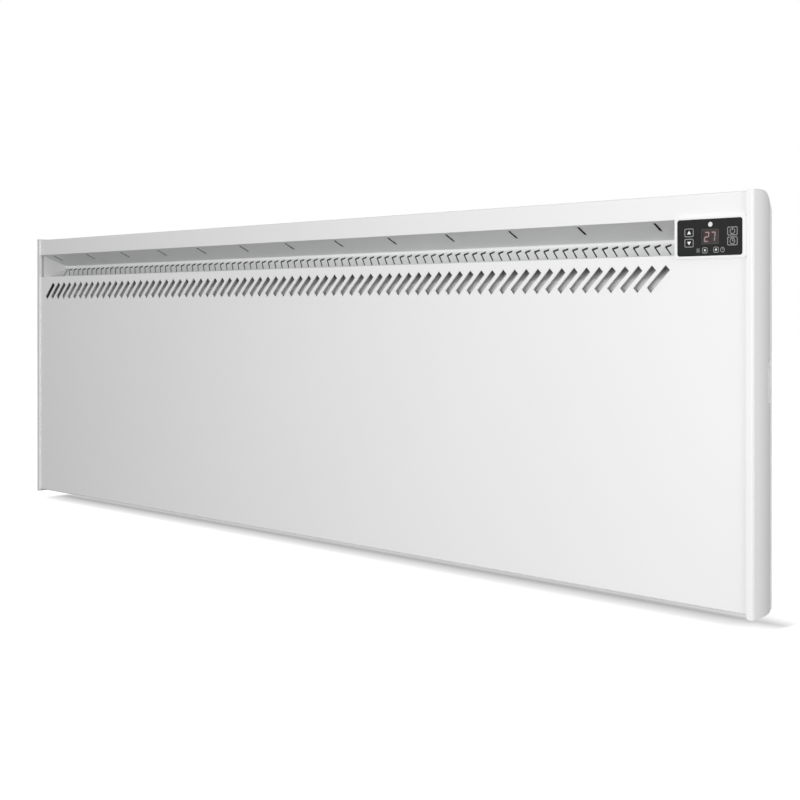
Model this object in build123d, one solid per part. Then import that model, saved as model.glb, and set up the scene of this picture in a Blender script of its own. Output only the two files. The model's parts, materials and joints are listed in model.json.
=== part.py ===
from build123d import *
import os
from math import atan2, cos, hypot, radians, sin, tan

os.makedirs("parts", exist_ok=True)

# Wall panel convector heater. X runs to the right as seen from the front, the front faces -Y, Z is up.
# The origin is the centre of the four wall bolt holes, on the wall.
# Depths are counted back from the front sheet's face, heights up from its lower edge.

# Case
sheet_width = 1185.0        # front sheet between the end caps
sheet_height = 368.0
case_depth = 46.0           # front face to rear face
wall_gap = 36.0             # rear face to wall
steel = 1.0                 # case sheet
corner_bend = 2.0           # sharp folds of the case
hood_bend = 27.0            # the hood's wide rear fold
hood_straight = 1.0         # from that fold down to the rear panel's edge
rear_bend = 9.0             # rear panel's lower fold
front_flange = 12.0         # front panel's return under the case
rear_flange = 13.0          # rear panel's return under the case
hood_lap = 10.0             # hood inside the rear panel's top edge
rear_inset = 6.0            # rear sheets stop this far short of the front sheet's ends
notch_depth = 30.0          # the hood is narrowed from this depth back

# Outlet trough
outlet_drop = 22.2          # hood's top edge to the trough's upper lip
outlet_height = 32.3        # mouth of the trough
outlet_depth = 42.0
outlet_rise = 13.7          # lower slope, from lip to back flat
outlet_flat = 3.2           # back flat between the slopes
lower_lip = 5.0             # trough flange behind the front panel
upper_lip = 12.0            # trough flange behind the hood
end_wall_inset = 1.6        # left end wall of the trough, inside the sheet's end
trough_gap = 0.3            # left cap around the trough

# Lanced openings in the lower slope: a short bar at the back and a slanted leg to the front
louvre_pitch = 12.13
louvre_bar_width = 7.2
louvre_bar_depth = 4.6
louvre_leg_width = 1.9
louvre_slant = 39.5         # degrees from straight back
louvre_front_margin = 1.8
louvre_back_margin = 3.4
louvre_left_margin = 15.8
louvre_right_margin = 2.8

# Slits in the upper slope
slit_pitch = 88.0
slit_width = 2.0
slit_length = 13.5
slit_front_margin = 5.8
slit_end_margin = 27.0

# Diagonal slots in the front panel
slot_pitch = 15.0
slot_width = 6.65
slot_length = 29.4
slot_angle = 44.5
slot_drop = 20.7            # trough's lower lip to the slots' middle
slot_left_margin = 27.5
slot_right_margin = 17.5

# Air inlet grille under the case
inlet_pitch = 18.0
inlet_slot_width = 9.0
inlet_slot_length = 27.0
inlet_end_margin = 22.0

# End caps
cap_face = 6.8              # bright strip beside the front sheet
cap_over_top = 1.3          # above the sheet
cap_over_low = 2.8          # below the sheet
cap_proud = 2.0             # in front of the sheet
cap_behind = 1.0            # behind the rear panel
cap_top_round = 31.0        # upper rear corner
cap_low_round = 12.0        # lower rear corner
cap_edge_round = 2.0
cap_corner_round = 2.0      # the strip's corners above and below the sheet
cap_side_bow = 2.2          # how far the side has come in at the bow's depth
cap_bow_depth = 20.0
cap_rim_depth = 41.0        # where the side meets the rear rim
cap_rim_inset = 8.5         # how far the side has come in at the rim
cap_rim_step = 0.6
cap_rim_width = 2.0
cap_back_taper = 3.4        # from the rim in to the cap's back
cap_wall = 2.4
cap_rear_wall = 12.0
lug_size = (12.0, 5.0, 16.0)
lug_low = 40.0
lug_middle = 160.0
lug_drop = 28.5             # trough's lower lip to the upper lug
cap_core_front = 22.4       # hollow behind the front face
cap_core_drop = 9.5         # the sheet's top edge to the right cap's hollow
cap_plug_drop = 5.0         # the sheet's top edge to the plug, under the hood's fold

# Power switch in the right cap
switch_drop = 111.2         # trough's lower lip to the switch
switch_depth = 35.4
recess_width = 9.6
recess_length = 40.0
recess_floor_inset = 3.7    # recess floor, inside the front sheet's end
bezel_width = 8.8
bezel_length = 27.0
bezel_thickness = 0.8
switch_body_width = 7.4
switch_body_length = 24.0
switch_body_depth = 15.0
switch_wall = 0.9
switch_well = 9.0           # well for the rocker, below the recess floor
switch_fit = 0.1            # body in the cap's hole
rocker_gap = 0.3
rocker_throw = 14.0         # degrees between its two stops
rocker_end_rise = 4.4       # pivot to the face at the rocker's ends
rocker_end_drop = 1.8       # pivot to the ends' lower corners
rocker_dish = 2.7           # pivot to the middle of the face, and of the belly
rocker_taper = 0.8          # underside's length against the face's
pivot_radius = 1.2
pivot_clearance = 0.05
pivot_inset = 3.0           # pivot below the bezel's face
pivot_seat = 0.5            # pivot pin in each side wall
terminal_width = 4.8
terminal_length = 6.0
terminal_thickness = 0.8

# Control module
module_width = 73.2         # from its left edge to the sheet's right end
overlay_width = 66.5
overlay_height = 32.5
overlay_thickness = 1.4
overlay_corner = 2.5
frame_left = 2.95
frame_low = 2.3
frame_high = 2.4
frame_end_gap = 0.2
frame_proud = 2.2
frame_corner = 1.6
frame_pocket = 1.5
overlay_drop = 0.8          # overlay's top edge below the trough's upper lip
module_wall = 1.2
module_box_inset = (2.8, 1.4, 1.6)  # box behind the overlay, in from its left, right, upper and lower edges
module_box_depth = 14.0
module_cut_gap = 0.3
board_thickness = 1.6
board_boss = 1.5
control_board_depth = 3.6
back_cover_thickness = 1.5

# Pieces on the overlay: middle and size, from the overlay's middle (X, height)
window_place = (0.45, 0.6)
window_size = (18.8, 13.6)
display_margin = 1.1
sensor_place = (1.0, 11.4)
sensor_radius = 2.15
step_key_size = (9.8, 7.8)
mode_key_size = (10.5, 7.8)
key_places = {
    "key_up": (-20.95, 4.7),
    "key_down": (-20.95, -4.5),
    "key_mode": (23.35, 4.65),
    "key_timer": (23.35, -4.05),
}
light_places = ((-4.5, -11.35), (6.8, -11.15))
light_radius = 0.95
key_gap = 0.15
key_travel = 0.5
key_collar = 0.6            # how far a key's collar stands out behind the frame, to each side
key_collar_thickness = 0.8
key_stem = (3.0, 0.8)       # width and length
key_switch_gap = 0.1        # stem to press switch when pressed
lens_gap = 0.05             # around lenses in the overlay and frame
lens_neck = 0.7             # sensor lens behind the overlay, against its face
key_corner = 0.9
tact_size = 4.5

# Heating element: a finned extrusion with two heater tubes
element_left = 72.5         # fins start this far inside the sheet's left end
element_right = 172.5       # and stop this far short of its right end
element_depth = 26.0
element_height = 92.0
tube_spacing = 30.0
tube_radius = 4.4
tube_gap = 0.1
tube_overhang = 20.0
boss_wall = 2.8
web_thickness = 2.4
web_height = 68.0
rib_count = 9
rib_thickness = 1.5
rib_long = 26.0             # ribs at the middle
rib_short = 17.0            # ribs at the web's ends
pin_radius = 1.6
pin_length = 10.0
bush_radius = 7.0
bush_collar = 9.0
bush_length = 5.0
bracket_steel = 1.2         # element brackets
bracket_span = 12.0         # fins' end to bracket
bracket_width = 30.0
bracket_height = 64.0
bracket_foot = 14.0
bracket_gap = 0.05          # bushes in the brackets
link_width = 6.4            # bar that joins the two left pins
link_reach = 5.0

# Heat shield: front sheet and two side walls standing on the rear panel
shield_steel = 0.8
shield_depth = 9.0
shield_low = 16.0
shield_drop = 20.5          # below the trough's lower lip
shield_left = 30.5          # side wall inside the sheet's left end
shield_right = 124.5        # side wall inside the sheet's right end
shield_apron = 45.0         # front sheet past the right wall, before the electrics
shield_notch = (24.0, 22.0) # upper left corner left open: X and height
shield_foot = 9.0
lead_window = (20.0, 74.0)  # opening in the right wall for the element's leads: depth and height

# Electrics behind the right end
board_width = 74.0
board_height = 80.0
board_left = 106.5          # board's left edge, inside the sheet's right end
board_drop = 11.5           # below the trough's lower lip
board_depth = 33.0
pillar_radius = 3.5
pillar_inset = 5.0
relay_place = (10.4, 17.2)  # from the board's lower left corner
relay_size = (29.0, 15.0, 12.5)
heat_sink_place = (10.4, 43.0)
heat_sink_size = (34.0, 16.0, 26.0)
heat_sink_fins = 6
heat_sink_fin = 1.2
heat_sink_base = 3.0
connector_size = (12.0, 6.0, 7.0)
connector_margin = 3.0      # from the board's top edge
strip_size = (12.0, 8.0, 9.0)   # wire strip on the board: ends past the wires, depth, height
strip_margin = 1.0          # from the board's lower edge
lead_first = 14.0           # first wire on the strip, from the board's left edge
lead_pitch = 8.0
lead_rise = 40.0            # leads bend up this far above their pins
supply_rise = (30.0, 70.0)  # supply wires cross over between these heights above their block
switch_wire_drops = (26.0, 16.0)
switch_wire_run = 12.0      # straight run to the switch's blades
switch_wire_bend = 4.0
terminal_block_size = (42.0, 17.0, 18.0)
terminal_block_height = 44.0
terminal_ways = 3
terminal_way_radius = 2.6
terminal_way_depth = 5.0
wire_radius = 1.5
wire_sides = 8
wire_bend = 9.0
ribbon_size = (10.0, 1.2)
ribbon_bend = 7.2
ribbon_gap = 1.0            # around the cable in the module's back cover
cutout_radius = 8.0
cutout_depth = 9.0
cutout_flange = (24.0, 1.0, 17.0)
cutout_inset = 60.0         # from the fins' right end
cutout_rise = 40.0          # above the fins
sensor_clip_size = (12.0, 8.0, 7.0)
sensor_inset = 10.0         # from the board's right edge
sensor_wire_radius = 1.05
sensor_wire_turns = (50.0, 20.0)    # where its wire bends towards the board, below it
bulb_radius = 2.2
bulb_length = 12.0
bulb_gap = 0.1
gland_bore = 3.6
gland_radius = 7.0
gland_fit = 0.05            # sleeve in the panel and ring
gland_collar = 10.0
gland_collar_length = 5.0
gland_height = 22.0
gland_behind = 10.0
gland_inside = 6.0
gland_nut = 9.0
gland_nut_length = 4.5

# Wall brackets and buffers
bracket_spread = 600.0      # between the brackets' middles, and so between bolt columns
bolt_rise = 180.0           # between the bolt rows
bolt_hole_radius = 3.25
wall_steel = 1.5
wall_bracket_width = 36.0
wall_bracket_length = 230.0
wall_bracket_waist = 15.0   # flange's depth at its waist
wall_bracket_shoulder = 30.0    # full-depth stretch at the lower end
hook_height = 105.0         # where the case hangs, above the bolt pattern's middle
hook_tab = 12.0
hook_nose = 7.0
hook_reach = 4.0            # hook inside the case, past the rear panel
hook_gap = 0.3
hook_stand_off = 1.5
hook_window_margin = 4.0
hook_window_height = 24.0
buffer_radius = 9.0
buffer_tip_radius = 6.5
buffer_inset = 70.0
buffer_height = 30.0

# Screws
screw_radius = 1.9
screw_hole_gap = 0.1
screw_head_radius = 3.6
screw_head_height = 1.8
screw_length = 5.0
hood_screw_count = 4
hood_screw_margin = 80.0    # from the rear panel's ends
hood_screw_drop = 4.5       # below the rear panel's top edge

# Shared places
half_width = sheet_width / 2
front_y = -(wall_gap + case_depth)
low_z = -sheet_height / 2
lip_low = sheet_height - outlet_drop - outlet_height
lip_high = sheet_height - outlet_drop
flat_low = lip_low + outlet_rise
flat_high = flat_low + outlet_flat
rear_half = half_width - rear_inset
rear_inner = case_depth - steel
rear_top = sheet_height - hood_bend - hood_straight
switch_height = lip_low - switch_drop
lug_heights = (lug_low, lug_middle, lip_low - lug_drop)
rim_x = half_width + cap_face - cap_rim_inset
module_left = half_width - module_width
trough_left = -half_width + end_wall_inset
overlay_left = module_left + frame_left
overlay_top = lip_high - overlay_drop
overlay_low = overlay_top - overlay_height
overlay_middle = (overlay_left + overlay_width / 2, overlay_top - overlay_height / 2)

section_plane = Plane(origin=(0, front_y, low_z), x_dir=(0, 1, 0), z_dir=(1, 0, 0))
front_plane = Plane(origin=(0, front_y, low_z), x_dir=(1, 0, 0), z_dir=(0, -1, 0))
plan_plane = Plane(origin=(0, front_y, low_z), x_dir=(1, 0, 0), z_dir=(0, 0, 1))


def place(x, depth, height):
    return Pos(x, front_y + depth, low_z + height)


def block(x, depth, height):
    """A box between two values of X, of depth and of height."""
    size = (x[1] - x[0], depth[1] - depth[0], height[1] - height[0])
    return place(sum(x) / 2, sum(depth) / 2, sum(height) / 2) * Box(*size)


def rod_back(x, height, radius, depth):
    """A round bar along the depth."""
    length = depth[1] - depth[0]
    return place(x, sum(depth) / 2, height) * Rot(90, 0, 0) * Cylinder(radius, length)


def rod_across(x, depth, height, radius):
    """A round bar along X."""
    length = x[1] - x[0]
    return place(sum(x) / 2, depth, height) * Rot(0, 90, 0) * Cylinder(radius, length)


def folded_sheet(outline, radii, side, x, thickness=steel):
    """A sheet folded along its outline of (depth, height) points, between two values of X."""
    path = FilletPolyline(*outline, radius=radii) if radii else Polyline(*outline)
    section = make_face(offset(path, amount=thickness, side=side, kind=Kind.INTERSECTION))
    return extrude(section_plane.offset(x[0]) * section, x[1] - x[0])


def tube(points, radius, bend):
    """A wire through points given as (X, depth, height), with round bends."""
    places = [(x, front_y + depth, low_z + height) for x, depth, height in points]
    path = FilletPolyline(*places, radius=bend)
    start = Plane(origin=path @ 0, z_dir=path % 0)
    return sweep(start * RegularPolygon(radius, wire_sides), path)


def spread(first, last, pitch):
    """Even places from the first one, as many as fit before the last."""
    count = int((last - first) / pitch + 1e-6) + 1
    return [first + i * pitch for i in range(count)]


def centred(low, high, pitch):
    """Even places between two limits, with equal ends."""
    count = int((high - low) / pitch + 1e-6) + 1
    start = (low + high - (count - 1) * pitch) / 2
    return [start + i * pitch for i in range(count)]


def screw(x, height, length=screw_length):
    """A hexagon-headed screw driven in from behind the rear panel."""
    back = case_depth + screw_head_height
    head_face = Plane(origin=(x, front_y + back, low_z + height), x_dir=(1, 0, 0), z_dir=(0, -1, 0))
    head = extrude(head_face * RegularPolygon(screw_head_radius, 6), screw_head_height)
    return head + rod_back(x, height, screw_radius, (case_depth - length, case_depth))


def screw_hole(x, height, depth):
    return rod_back(x, height, screw_radius + screw_hole_gap, depth)


def even(low, high, count):
    """A number of places, the first and last at two limits."""
    return [low + i * (high - low) / (count - 1) for i in range(count)]


# Screw places: (X, height)
hood_screw_end = rear_half - hood_screw_margin
hood_screw_x = even(-hood_screw_end, hood_screw_end, hood_screw_count)
hood_screws = [(x, rear_top - hood_screw_drop) for x in hood_screw_x]
lug_x = rear_half - lug_size[0] / 2
cap_screws = [(side * lug_x, height) for side in (-1, 1) for height in lug_heights]
fin_left = -half_width + element_left
fin_right = half_width - element_right
element_bracket_x = (fin_left - bracket_span, fin_right + bracket_span)
bracket_screws = [(element_bracket_x[0] - bracket_foot / 2, element_height),
                  (element_bracket_x[1] + bracket_foot / 2, element_height)]
board_x = half_width - board_left
board_back = board_depth + board_thickness
board_top = lip_low - board_drop
board_low = board_top - board_height
pillar_places = [(board_x + x, board_low + height)
                 for x in (pillar_inset, board_width - pillar_inset)
                 for height in (pillar_inset, board_height - pillar_inset)]
gland_x = board_x + board_width / 2
ribbon_x = board_x + board_width - connector_size[0]
air_sensor_x = board_x + board_width - sensor_inset
rear_screws = hood_screws + cap_screws + bracket_screws + pillar_places


# Case sheets
def front_panel():
    outline = ((front_flange, 0), (0, 0), (0, lip_low))
    panel = folded_sheet(outline, corner_bend, Side.RIGHT, (-half_width, half_width))
    panel += block((module_left, half_width), (0, steel), (lip_low, lip_high))
    slots = Sketch() + [
        Pos(x, lip_low - slot_drop) * Rectangle(slot_length, slot_width, rotation=slot_angle)
        for x in spread(-half_width + slot_left_margin, module_left - slot_right_margin, slot_pitch)
    ]
    panel -= extrude(front_plane * slots, steel, both=True)
    opening_x, opening_height = module_box(module_cut_gap)
    return panel - block(opening_x, (-steel, 2 * steel), opening_height)


def outlet_outline():
    return ((steel, lip_low - lower_lip), (steel, lip_low), (outlet_depth, flat_low),
            (outlet_depth, flat_high), (steel, lip_high), (steel, lip_high + upper_lip))


def louvre_openings():
    run = outlet_depth - steel
    angle = atan2(outlet_rise, run)
    slope = Plane(origin=(0, front_y + steel, low_z + lip_low), x_dir=(1, 0, 0),
                  z_dir=(0, -sin(angle), cos(angle)))
    back = hypot(outlet_rise, run) - louvre_back_margin
    shift = tan(radians(louvre_slant))
    reach = shift * (back - louvre_front_margin)
    bar_front = back - louvre_bar_depth
    leg_x = louvre_leg_width + shift * louvre_bar_depth
    leg_front = louvre_front_margin
    opening = Polygon((0, back), (reach, leg_front), (reach + louvre_leg_width, leg_front),
                      (leg_x, bar_front), (louvre_bar_width, bar_front), (louvre_bar_width, back),
                      align=None)
    last = module_left - louvre_right_margin - louvre_leg_width - reach
    places = spread(trough_left + louvre_left_margin, last, louvre_pitch)
    return extrude(slope * (Sketch() + [Pos(x, 0) * opening for x in places]), 2 * steel, both=True)


def outlet_slits():
    run = outlet_depth - steel
    angle = atan2(lip_high - flat_high, run)
    slope = Plane(origin=(0, front_y + steel, low_z + lip_high), x_dir=(1, 0, 0),
                  z_dir=(0, sin(angle), cos(angle)))
    middle = slit_front_margin + slit_length / 2
    places = centred(slit_end_margin - half_width, module_left - slit_end_margin, slit_pitch)
    slits = Sketch() + [Pos(x, middle) * Rectangle(slit_width, slit_length) for x in places]
    return extrude(slope * slits, 2 * steel, both=True)


def outlet_trough():
    trough = folded_sheet(outlet_outline(), None, Side.RIGHT, (trough_left, module_left))
    return trough - louvre_openings() - outlet_slits()


def outlet_end_cheek():
    mouth = Polygon((steel, lip_low), (outlet_depth, flat_low), (outlet_depth, flat_high),
                    (steel, lip_high), align=None)
    rim = offset(mouth, steel, kind=Kind.INTERSECTION)
    cheek = extrude(section_plane.offset(module_left) * rim, steel)
    return cheek - block((0, half_width), (-case_depth, steel), (0, sheet_height))


def top_hood():
    outline = ((0, lip_high), (0, sheet_height), (rear_inner, sheet_height),
               (rear_inner, rear_top - hood_lap))
    hood = folded_sheet(outline, [corner_bend, hood_bend], Side.RIGHT, (-half_width, half_width))
    for side in (-1, 1):
        ends = sorted((side * rear_half, side * (half_width + steel)))
        hood -= block(ends, (notch_depth, case_depth), (lip_low, sheet_height + steel))
    for x, height in hood_screws:
        hood -= screw_hole(x, height, (rear_inner - 2 * steel, case_depth))
    return hood


def hook_window(x):
    """The slot that a wall bracket's two hooks reach through; the hooks' tabs carry its upper edge."""
    half = wall_bracket_width / 2 + hook_window_margin
    top = hook_height - low_z
    through = (rear_inner - steel, case_depth + steel)
    return block((x - half, x + half), through, (top - hook_window_height, top))


def rear_panel():
    outline = ((case_depth - rear_flange, 0), (case_depth, 0), (case_depth, rear_top))
    panel = folded_sheet(outline, rear_bend, Side.LEFT, (-rear_half, rear_half))
    for side in (-1, 1):
        panel -= hook_window(side * bracket_spread / 2)
    for x, height in rear_screws:
        panel -= screw_hole(x, height, (rear_inner - steel, case_depth + steel))
    through = (rear_inner - steel, case_depth + steel)
    return panel - rod_back(gland_x, gland_height, gland_radius + gland_fit, through)


def base_grille():
    depth = (corner_bend, case_depth - rear_bend)
    plate = block((-rear_half, rear_half), depth, (steel, 2 * steel))
    middle = sum(depth) / 2
    slots = Sketch() + [
        Pos(x, middle) * Rectangle(inlet_slot_width, inlet_slot_length)
        for x in centred(-rear_half + inlet_end_margin, rear_half - inlet_end_margin, inlet_pitch)
    ]
    return plate - extrude(plan_plane * slots, 3 * steel)


# End caps
def cap_side_outline():
    """The cap seen from its end, as a face of (depth, height)."""
    depth = (-cap_proud, case_depth + cap_behind)
    height = (-cap_over_low, sheet_height + cap_over_top)
    outline = Pos(sum(depth) / 2, sum(height) / 2) * Rectangle(depth[1] - depth[0], height[1] - height[0])
    outline = fillet(outline.vertices().sort_by(lambda v: v.X + v.Y)[-1], cap_top_round)
    return fillet(outline.vertices().sort_by(lambda v: v.X - v.Y)[-1], cap_low_round)


def cap_plan_outline():
    """The right cap seen from above, as a face of (X, depth): a bowed side that ends in a rear rim."""
    outer = half_width + cap_face
    rim_end = cap_rim_depth + cap_rim_width
    back = case_depth + cap_behind
    lines = [
        Line((rear_half, -cap_proud), (outer - cap_edge_round, -cap_proud)),
        ThreePointArc((outer - cap_edge_round, -cap_proud),
                      (outer - cap_edge_round * 0.3, -cap_proud + cap_edge_round * 0.3),
                      (outer, -cap_proud + cap_edge_round)),
        ThreePointArc((outer, -cap_proud + cap_edge_round), (outer - cap_side_bow, cap_bow_depth),
                      (rim_x, cap_rim_depth)),
        Line((rim_x, cap_rim_depth), (rim_x + cap_rim_step, cap_rim_depth)),
        Line((rim_x + cap_rim_step, cap_rim_depth), (rim_x, rim_end)),
        Line((rim_x, rim_end), (rim_x - cap_back_taper, back)),
        Line((rim_x - cap_back_taper, back), (rear_half, back)),
        Line((rear_half, back), (rear_half, -cap_proud)),
    ]
    return make_face(lines)


def cap_body():
    """The right cap without its own openings: shell outside the sheets, plug between them."""
    low = -2 * cap_over_low
    high = sheet_height + 2 * cap_over_top
    body = extrude(section_plane.offset(rear_half) * cap_side_outline(), rear_inset + cap_face)
    body &= extrude(plan_plane.offset(low) * cap_plan_outline(), high - low)
    inner_x = (rear_half - steel, half_width)
    body -= block(inner_x, (-2 * cap_proud, corner_bend), (low, high))
    body -= block(inner_x, (0, notch_depth), (low, corner_bend))
    body -= block(inner_x, (0, notch_depth), (sheet_height - cap_plug_drop, high))
    return body - strip_corner(-cap_over_low, -1) - strip_corner(sheet_height + cap_over_top, 1)


def strip_corner(height, side):
    """What is rounded off the strip beside the sheet, at its lower or upper end."""
    depth = (-2 * cap_proud, notch_depth)
    middle = height - side * cap_corner_round
    corner_x = (half_width - steel, half_width + cap_corner_round)
    corner = block(corner_x, depth, sorted((middle, height + side * steel)))
    return corner - rod_back(half_width + cap_corner_round, middle, cap_corner_round, depth)


def cap_lugs():
    depth = (rear_inner - lug_size[1], rear_inner)
    lugs = Part()
    for height in lug_heights:
        half = lug_size[2] / 2
        lug = block((rear_half - lug_size[0], rear_half), depth, (height - half, height + half))
        lugs += lug - screw_hole(lug_x, height, (depth[0] - steel, rear_inner + steel))
    return lugs


def cap_core(height):
    """The hollow inside a cap, open towards the case."""
    bow_x = half_width + cap_face - cap_side_bow - cap_wall
    front = block((rear_half - steel, bow_x), (cap_wall, cap_core_front), height)
    back = block((rear_half - steel, rim_x), (cap_wall, case_depth - cap_rear_wall), height)
    return front + back


def trough_clearance():
    """Room for the trough's end in the left cap."""
    gap = steel + trough_gap
    lip_back = steel + gap
    outline = Polygon((-cap_proud, lip_low - lower_lip - gap), (lip_back, lip_low - lower_lip - gap),
                      (lip_back, lip_low - gap), (outlet_depth + gap, flat_low - gap),
                      (outlet_depth + gap, flat_high + gap), (lip_back, lip_high + gap),
                      (lip_back, lip_high + upper_lip + gap), (-cap_proud, lip_high + upper_lip + gap),
                      align=None)
    return extrude(section_plane.offset(rear_half - steel) * outline, rear_inset - end_wall_inset + steel)


def left_end_cap():
    hollow = (cap_wall, lip_low - 4 * cap_wall)
    cap = cap_body() - cap_core(hollow) - trough_clearance() + cap_lugs()
    return mirror(cap, about=Plane.YZ)


def recess_face():
    return Pos(switch_depth, switch_height) * SlotOverall(recess_length, recess_width, rotation=90)


def right_end_cap():
    floor_x = half_width - recess_floor_inset
    solid = cap_body()
    cap = solid - cap_core((cap_wall, sheet_height - cap_core_drop))
    cap += cap_lugs()
    seat = offset(recess_face(), cap_wall)
    pad = extrude(section_plane.offset(floor_x - cap_wall) * seat, cap_face)
    cap += pad & solid
    cap -= extrude(section_plane.offset(floor_x) * recess_face(), cap_face * 2)
    box_x, box_height = module_box(module_cut_gap)
    cap -= block((rear_half - steel, box_x[1]), (0, module_box_depth + module_cut_gap), box_height)
    hole_size = grown((switch_body_width, switch_body_length), switch_fit)
    hole = Pos(switch_depth, switch_height) * Rectangle(*hole_size)
    return cap - extrude(section_plane.offset(floor_x - 4 * cap_wall) * hole, cap_face * 2)


# Power switch
switch_floor = half_width - recess_floor_inset
bezel_face = switch_floor + bezel_thickness
pivot_x = bezel_face - pivot_inset
blade_heights = (switch_height - switch_body_length / 4, switch_height + switch_body_length / 4)


def power_switch_housing():
    depth = (switch_depth - switch_body_width / 2, switch_depth + switch_body_width / 2)
    height = (switch_height - switch_body_length / 2, switch_height + switch_body_length / 2)
    body = block((switch_floor - switch_body_depth, switch_floor), depth, height)
    body += block((switch_floor, bezel_face),
                  (switch_depth - bezel_width / 2, switch_depth + bezel_width / 2),
                  (switch_height - bezel_length / 2, switch_height + bezel_length / 2))
    well_depth = (depth[0] + switch_wall, depth[1] - switch_wall)
    well_height = (height[0] + switch_wall, height[1] - switch_wall)
    body -= block((switch_floor - switch_well, bezel_face + steel), well_depth, well_height)
    for end in well_depth:
        seat = (end - pivot_seat, end + pivot_seat)
        body -= rod_back(pivot_x, switch_height, pivot_radius + pivot_clearance, seat)
    return body + switch_terminals()


def switch_terminals():
    blades = Part()
    back = switch_floor - switch_body_depth
    for height in blade_heights:
        blades += block((back - terminal_length, back),
                        (switch_depth - terminal_thickness / 2, switch_depth + terminal_thickness / 2),
                        (height - terminal_width / 2, height + terminal_width / 2))
    return blades


def power_rocker():
    """The rocker with its upper end pressed in, as at rest."""
    half_length = switch_body_length / 2 - switch_wall - rocker_gap
    width = switch_body_width - 2 * switch_wall - 2 * rocker_gap
    tilt = rocker_throw / 2
    ends = half_length * cos(radians(tilt)) - rocker_gap
    side = Polygon((-rocker_end_drop, -ends * rocker_taper), (rocker_end_rise, -ends), (rocker_dish, 0),
                   (rocker_end_rise, ends), (-rocker_end_drop, ends * rocker_taper), (-rocker_dish, 0),
                   align=None)
    side_plane = Plane(origin=(0, width / 2, 0), x_dir=(1, 0, 0), z_dir=(0, -1, 0))
    body = extrude(side_plane * side, width)
    axle_length = switch_body_width - 2 * switch_wall + 2 * pivot_seat - rocker_gap
    axle = Rot(90, 0, 0) * Cylinder(pivot_radius, axle_length)
    return place(pivot_x, switch_depth, switch_height) * Rot(0, -tilt, 0) * (body + axle)


# Control module
def module_box(gap=0.0):
    """The module's box behind the overlay: its range of X and of height."""
    right = overlay_left + overlay_width - module_box_inset[1]
    height = (overlay_low + module_box_inset[2] - gap, overlay_top - module_box_inset[2] + gap)
    return (overlay_left + module_box_inset[0] - gap, right + gap), height


def on_overlay(spot):
    return (overlay_middle[0] + spot[0], overlay_middle[1] + spot[1])


def rounded(spot, size, corner, depth):
    """A block with rounded corners on the overlay, between two depths."""
    x, height = on_overlay(spot)
    face = Pos(x, height) * RectangleRounded(size[0], size[1], corner)
    return extrude(front_plane.offset(-depth[1]) * face, depth[1] - depth[0])


def square(spot, size, depth):
    """A block with plain corners on the overlay, between two depths."""
    x, height = on_overlay(spot)
    return block((x - size[0] / 2, x + size[0] / 2), depth, (height - size[1] / 2, height + size[1] / 2))


def key_size(name):
    return step_key_size if name in ("key_up", "key_down") else mode_key_size


def grown(size, by):
    return (size[0] + 2 * by, size[1] + 2 * by)


floor_front = -frame_proud + frame_pocket


def module_housing():
    frame_x = (module_left, half_width - frame_end_gap)
    frame_height = (overlay_low - frame_low, overlay_top + frame_high)
    face = Pos(sum(frame_x) / 2, sum(frame_height) / 2) * RectangleRounded(
        frame_x[1] - frame_x[0], frame_height[1] - frame_height[0], frame_corner)
    housing = extrude(front_plane * face, frame_proud)
    housing -= rounded((0, 0), grown((overlay_width, overlay_height), key_gap), overlay_corner,
                       (-2 * frame_proud, floor_front))
    x, height = module_box()
    box = block(x, (0, module_box_depth), height)
    box -= block((x[0] + module_wall, x[1] - module_wall), (0, module_box_depth),
                 (height[0] + module_wall, height[1] - module_wall))
    housing += box
    for spot in board_corners():
        housing += rod_back(*spot, board_boss, (0, control_board_depth))
    through = (-2 * frame_proud, key_collar_thickness)
    housing -= square(window_place, grown(window_size, -display_margin + key_gap), through)
    for name, spot in key_places.items():
        housing -= square(spot, grown(key_size(name), key_gap), through)
    for spot in light_places:
        housing -= rod_back(*on_overlay(spot), light_radius + lens_gap, through)
    return housing - rod_back(*on_overlay(sensor_place), sensor_radius * lens_neck + lens_gap, through)


def board_corners():
    x, height = module_box()
    inset = module_wall + board_boss
    return [(x[i] + (1 - 2 * i) * inset, height[j] + (1 - 2 * j) * inset) for i in (0, 1) for j in (0, 1)]


def control_overlay():
    depth = (floor_front - overlay_thickness, floor_front)
    through = (depth[0] - steel, depth[1] + steel)
    plate = rounded((0, 0), (overlay_width, overlay_height), overlay_corner, depth)
    plate -= rounded(window_place, grown(window_size, lens_gap), key_corner, through)
    for name, spot in key_places.items():
        plate -= rounded(spot, grown(key_size(name), key_gap), key_corner + key_gap, through)
    for spot in light_places:
        plate -= rod_back(*on_overlay(spot), light_radius + lens_gap, through)
    return plate - rod_back(*on_overlay(sensor_place), sensor_radius + lens_gap, through)


def display_lens():
    return rounded(window_place, window_size, key_corner, (floor_front - overlay_thickness, floor_front))


def display_module():
    return rounded(window_place, grown(window_size, -display_margin), key_corner,
                   (floor_front + lens_gap, control_board_depth))


def sensor_lens():
    x, height = on_overlay(sensor_place)
    lens = rod_back(x, height, sensor_radius, (floor_front - overlay_thickness, floor_front))
    return lens + rod_back(x, height, sensor_radius * lens_neck, (floor_front, control_board_depth))


def indicator_lights():
    depth = (floor_front - overlay_thickness, control_board_depth)
    return Part() + [rod_back(*on_overlay(spot), light_radius, depth) for spot in light_places]


def key(name):
    """A key cap: its face flush with the overlay, its collar against the back of the frame."""
    spot = key_places[name]
    x, height = on_overlay(spot)
    cap = rounded(spot, key_size(name), key_corner, (floor_front - overlay_thickness, 0))
    width, tall = key_size(name)
    cap += rounded(spot, (width + 2 * key_collar, tall), key_corner, (0, key_collar_thickness))
    stem = key_stem[0] / 2
    return cap + block((x - stem, x + stem), (key_collar_thickness, key_collar_thickness + key_stem[1]),
                       (height - stem, height + stem))


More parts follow.
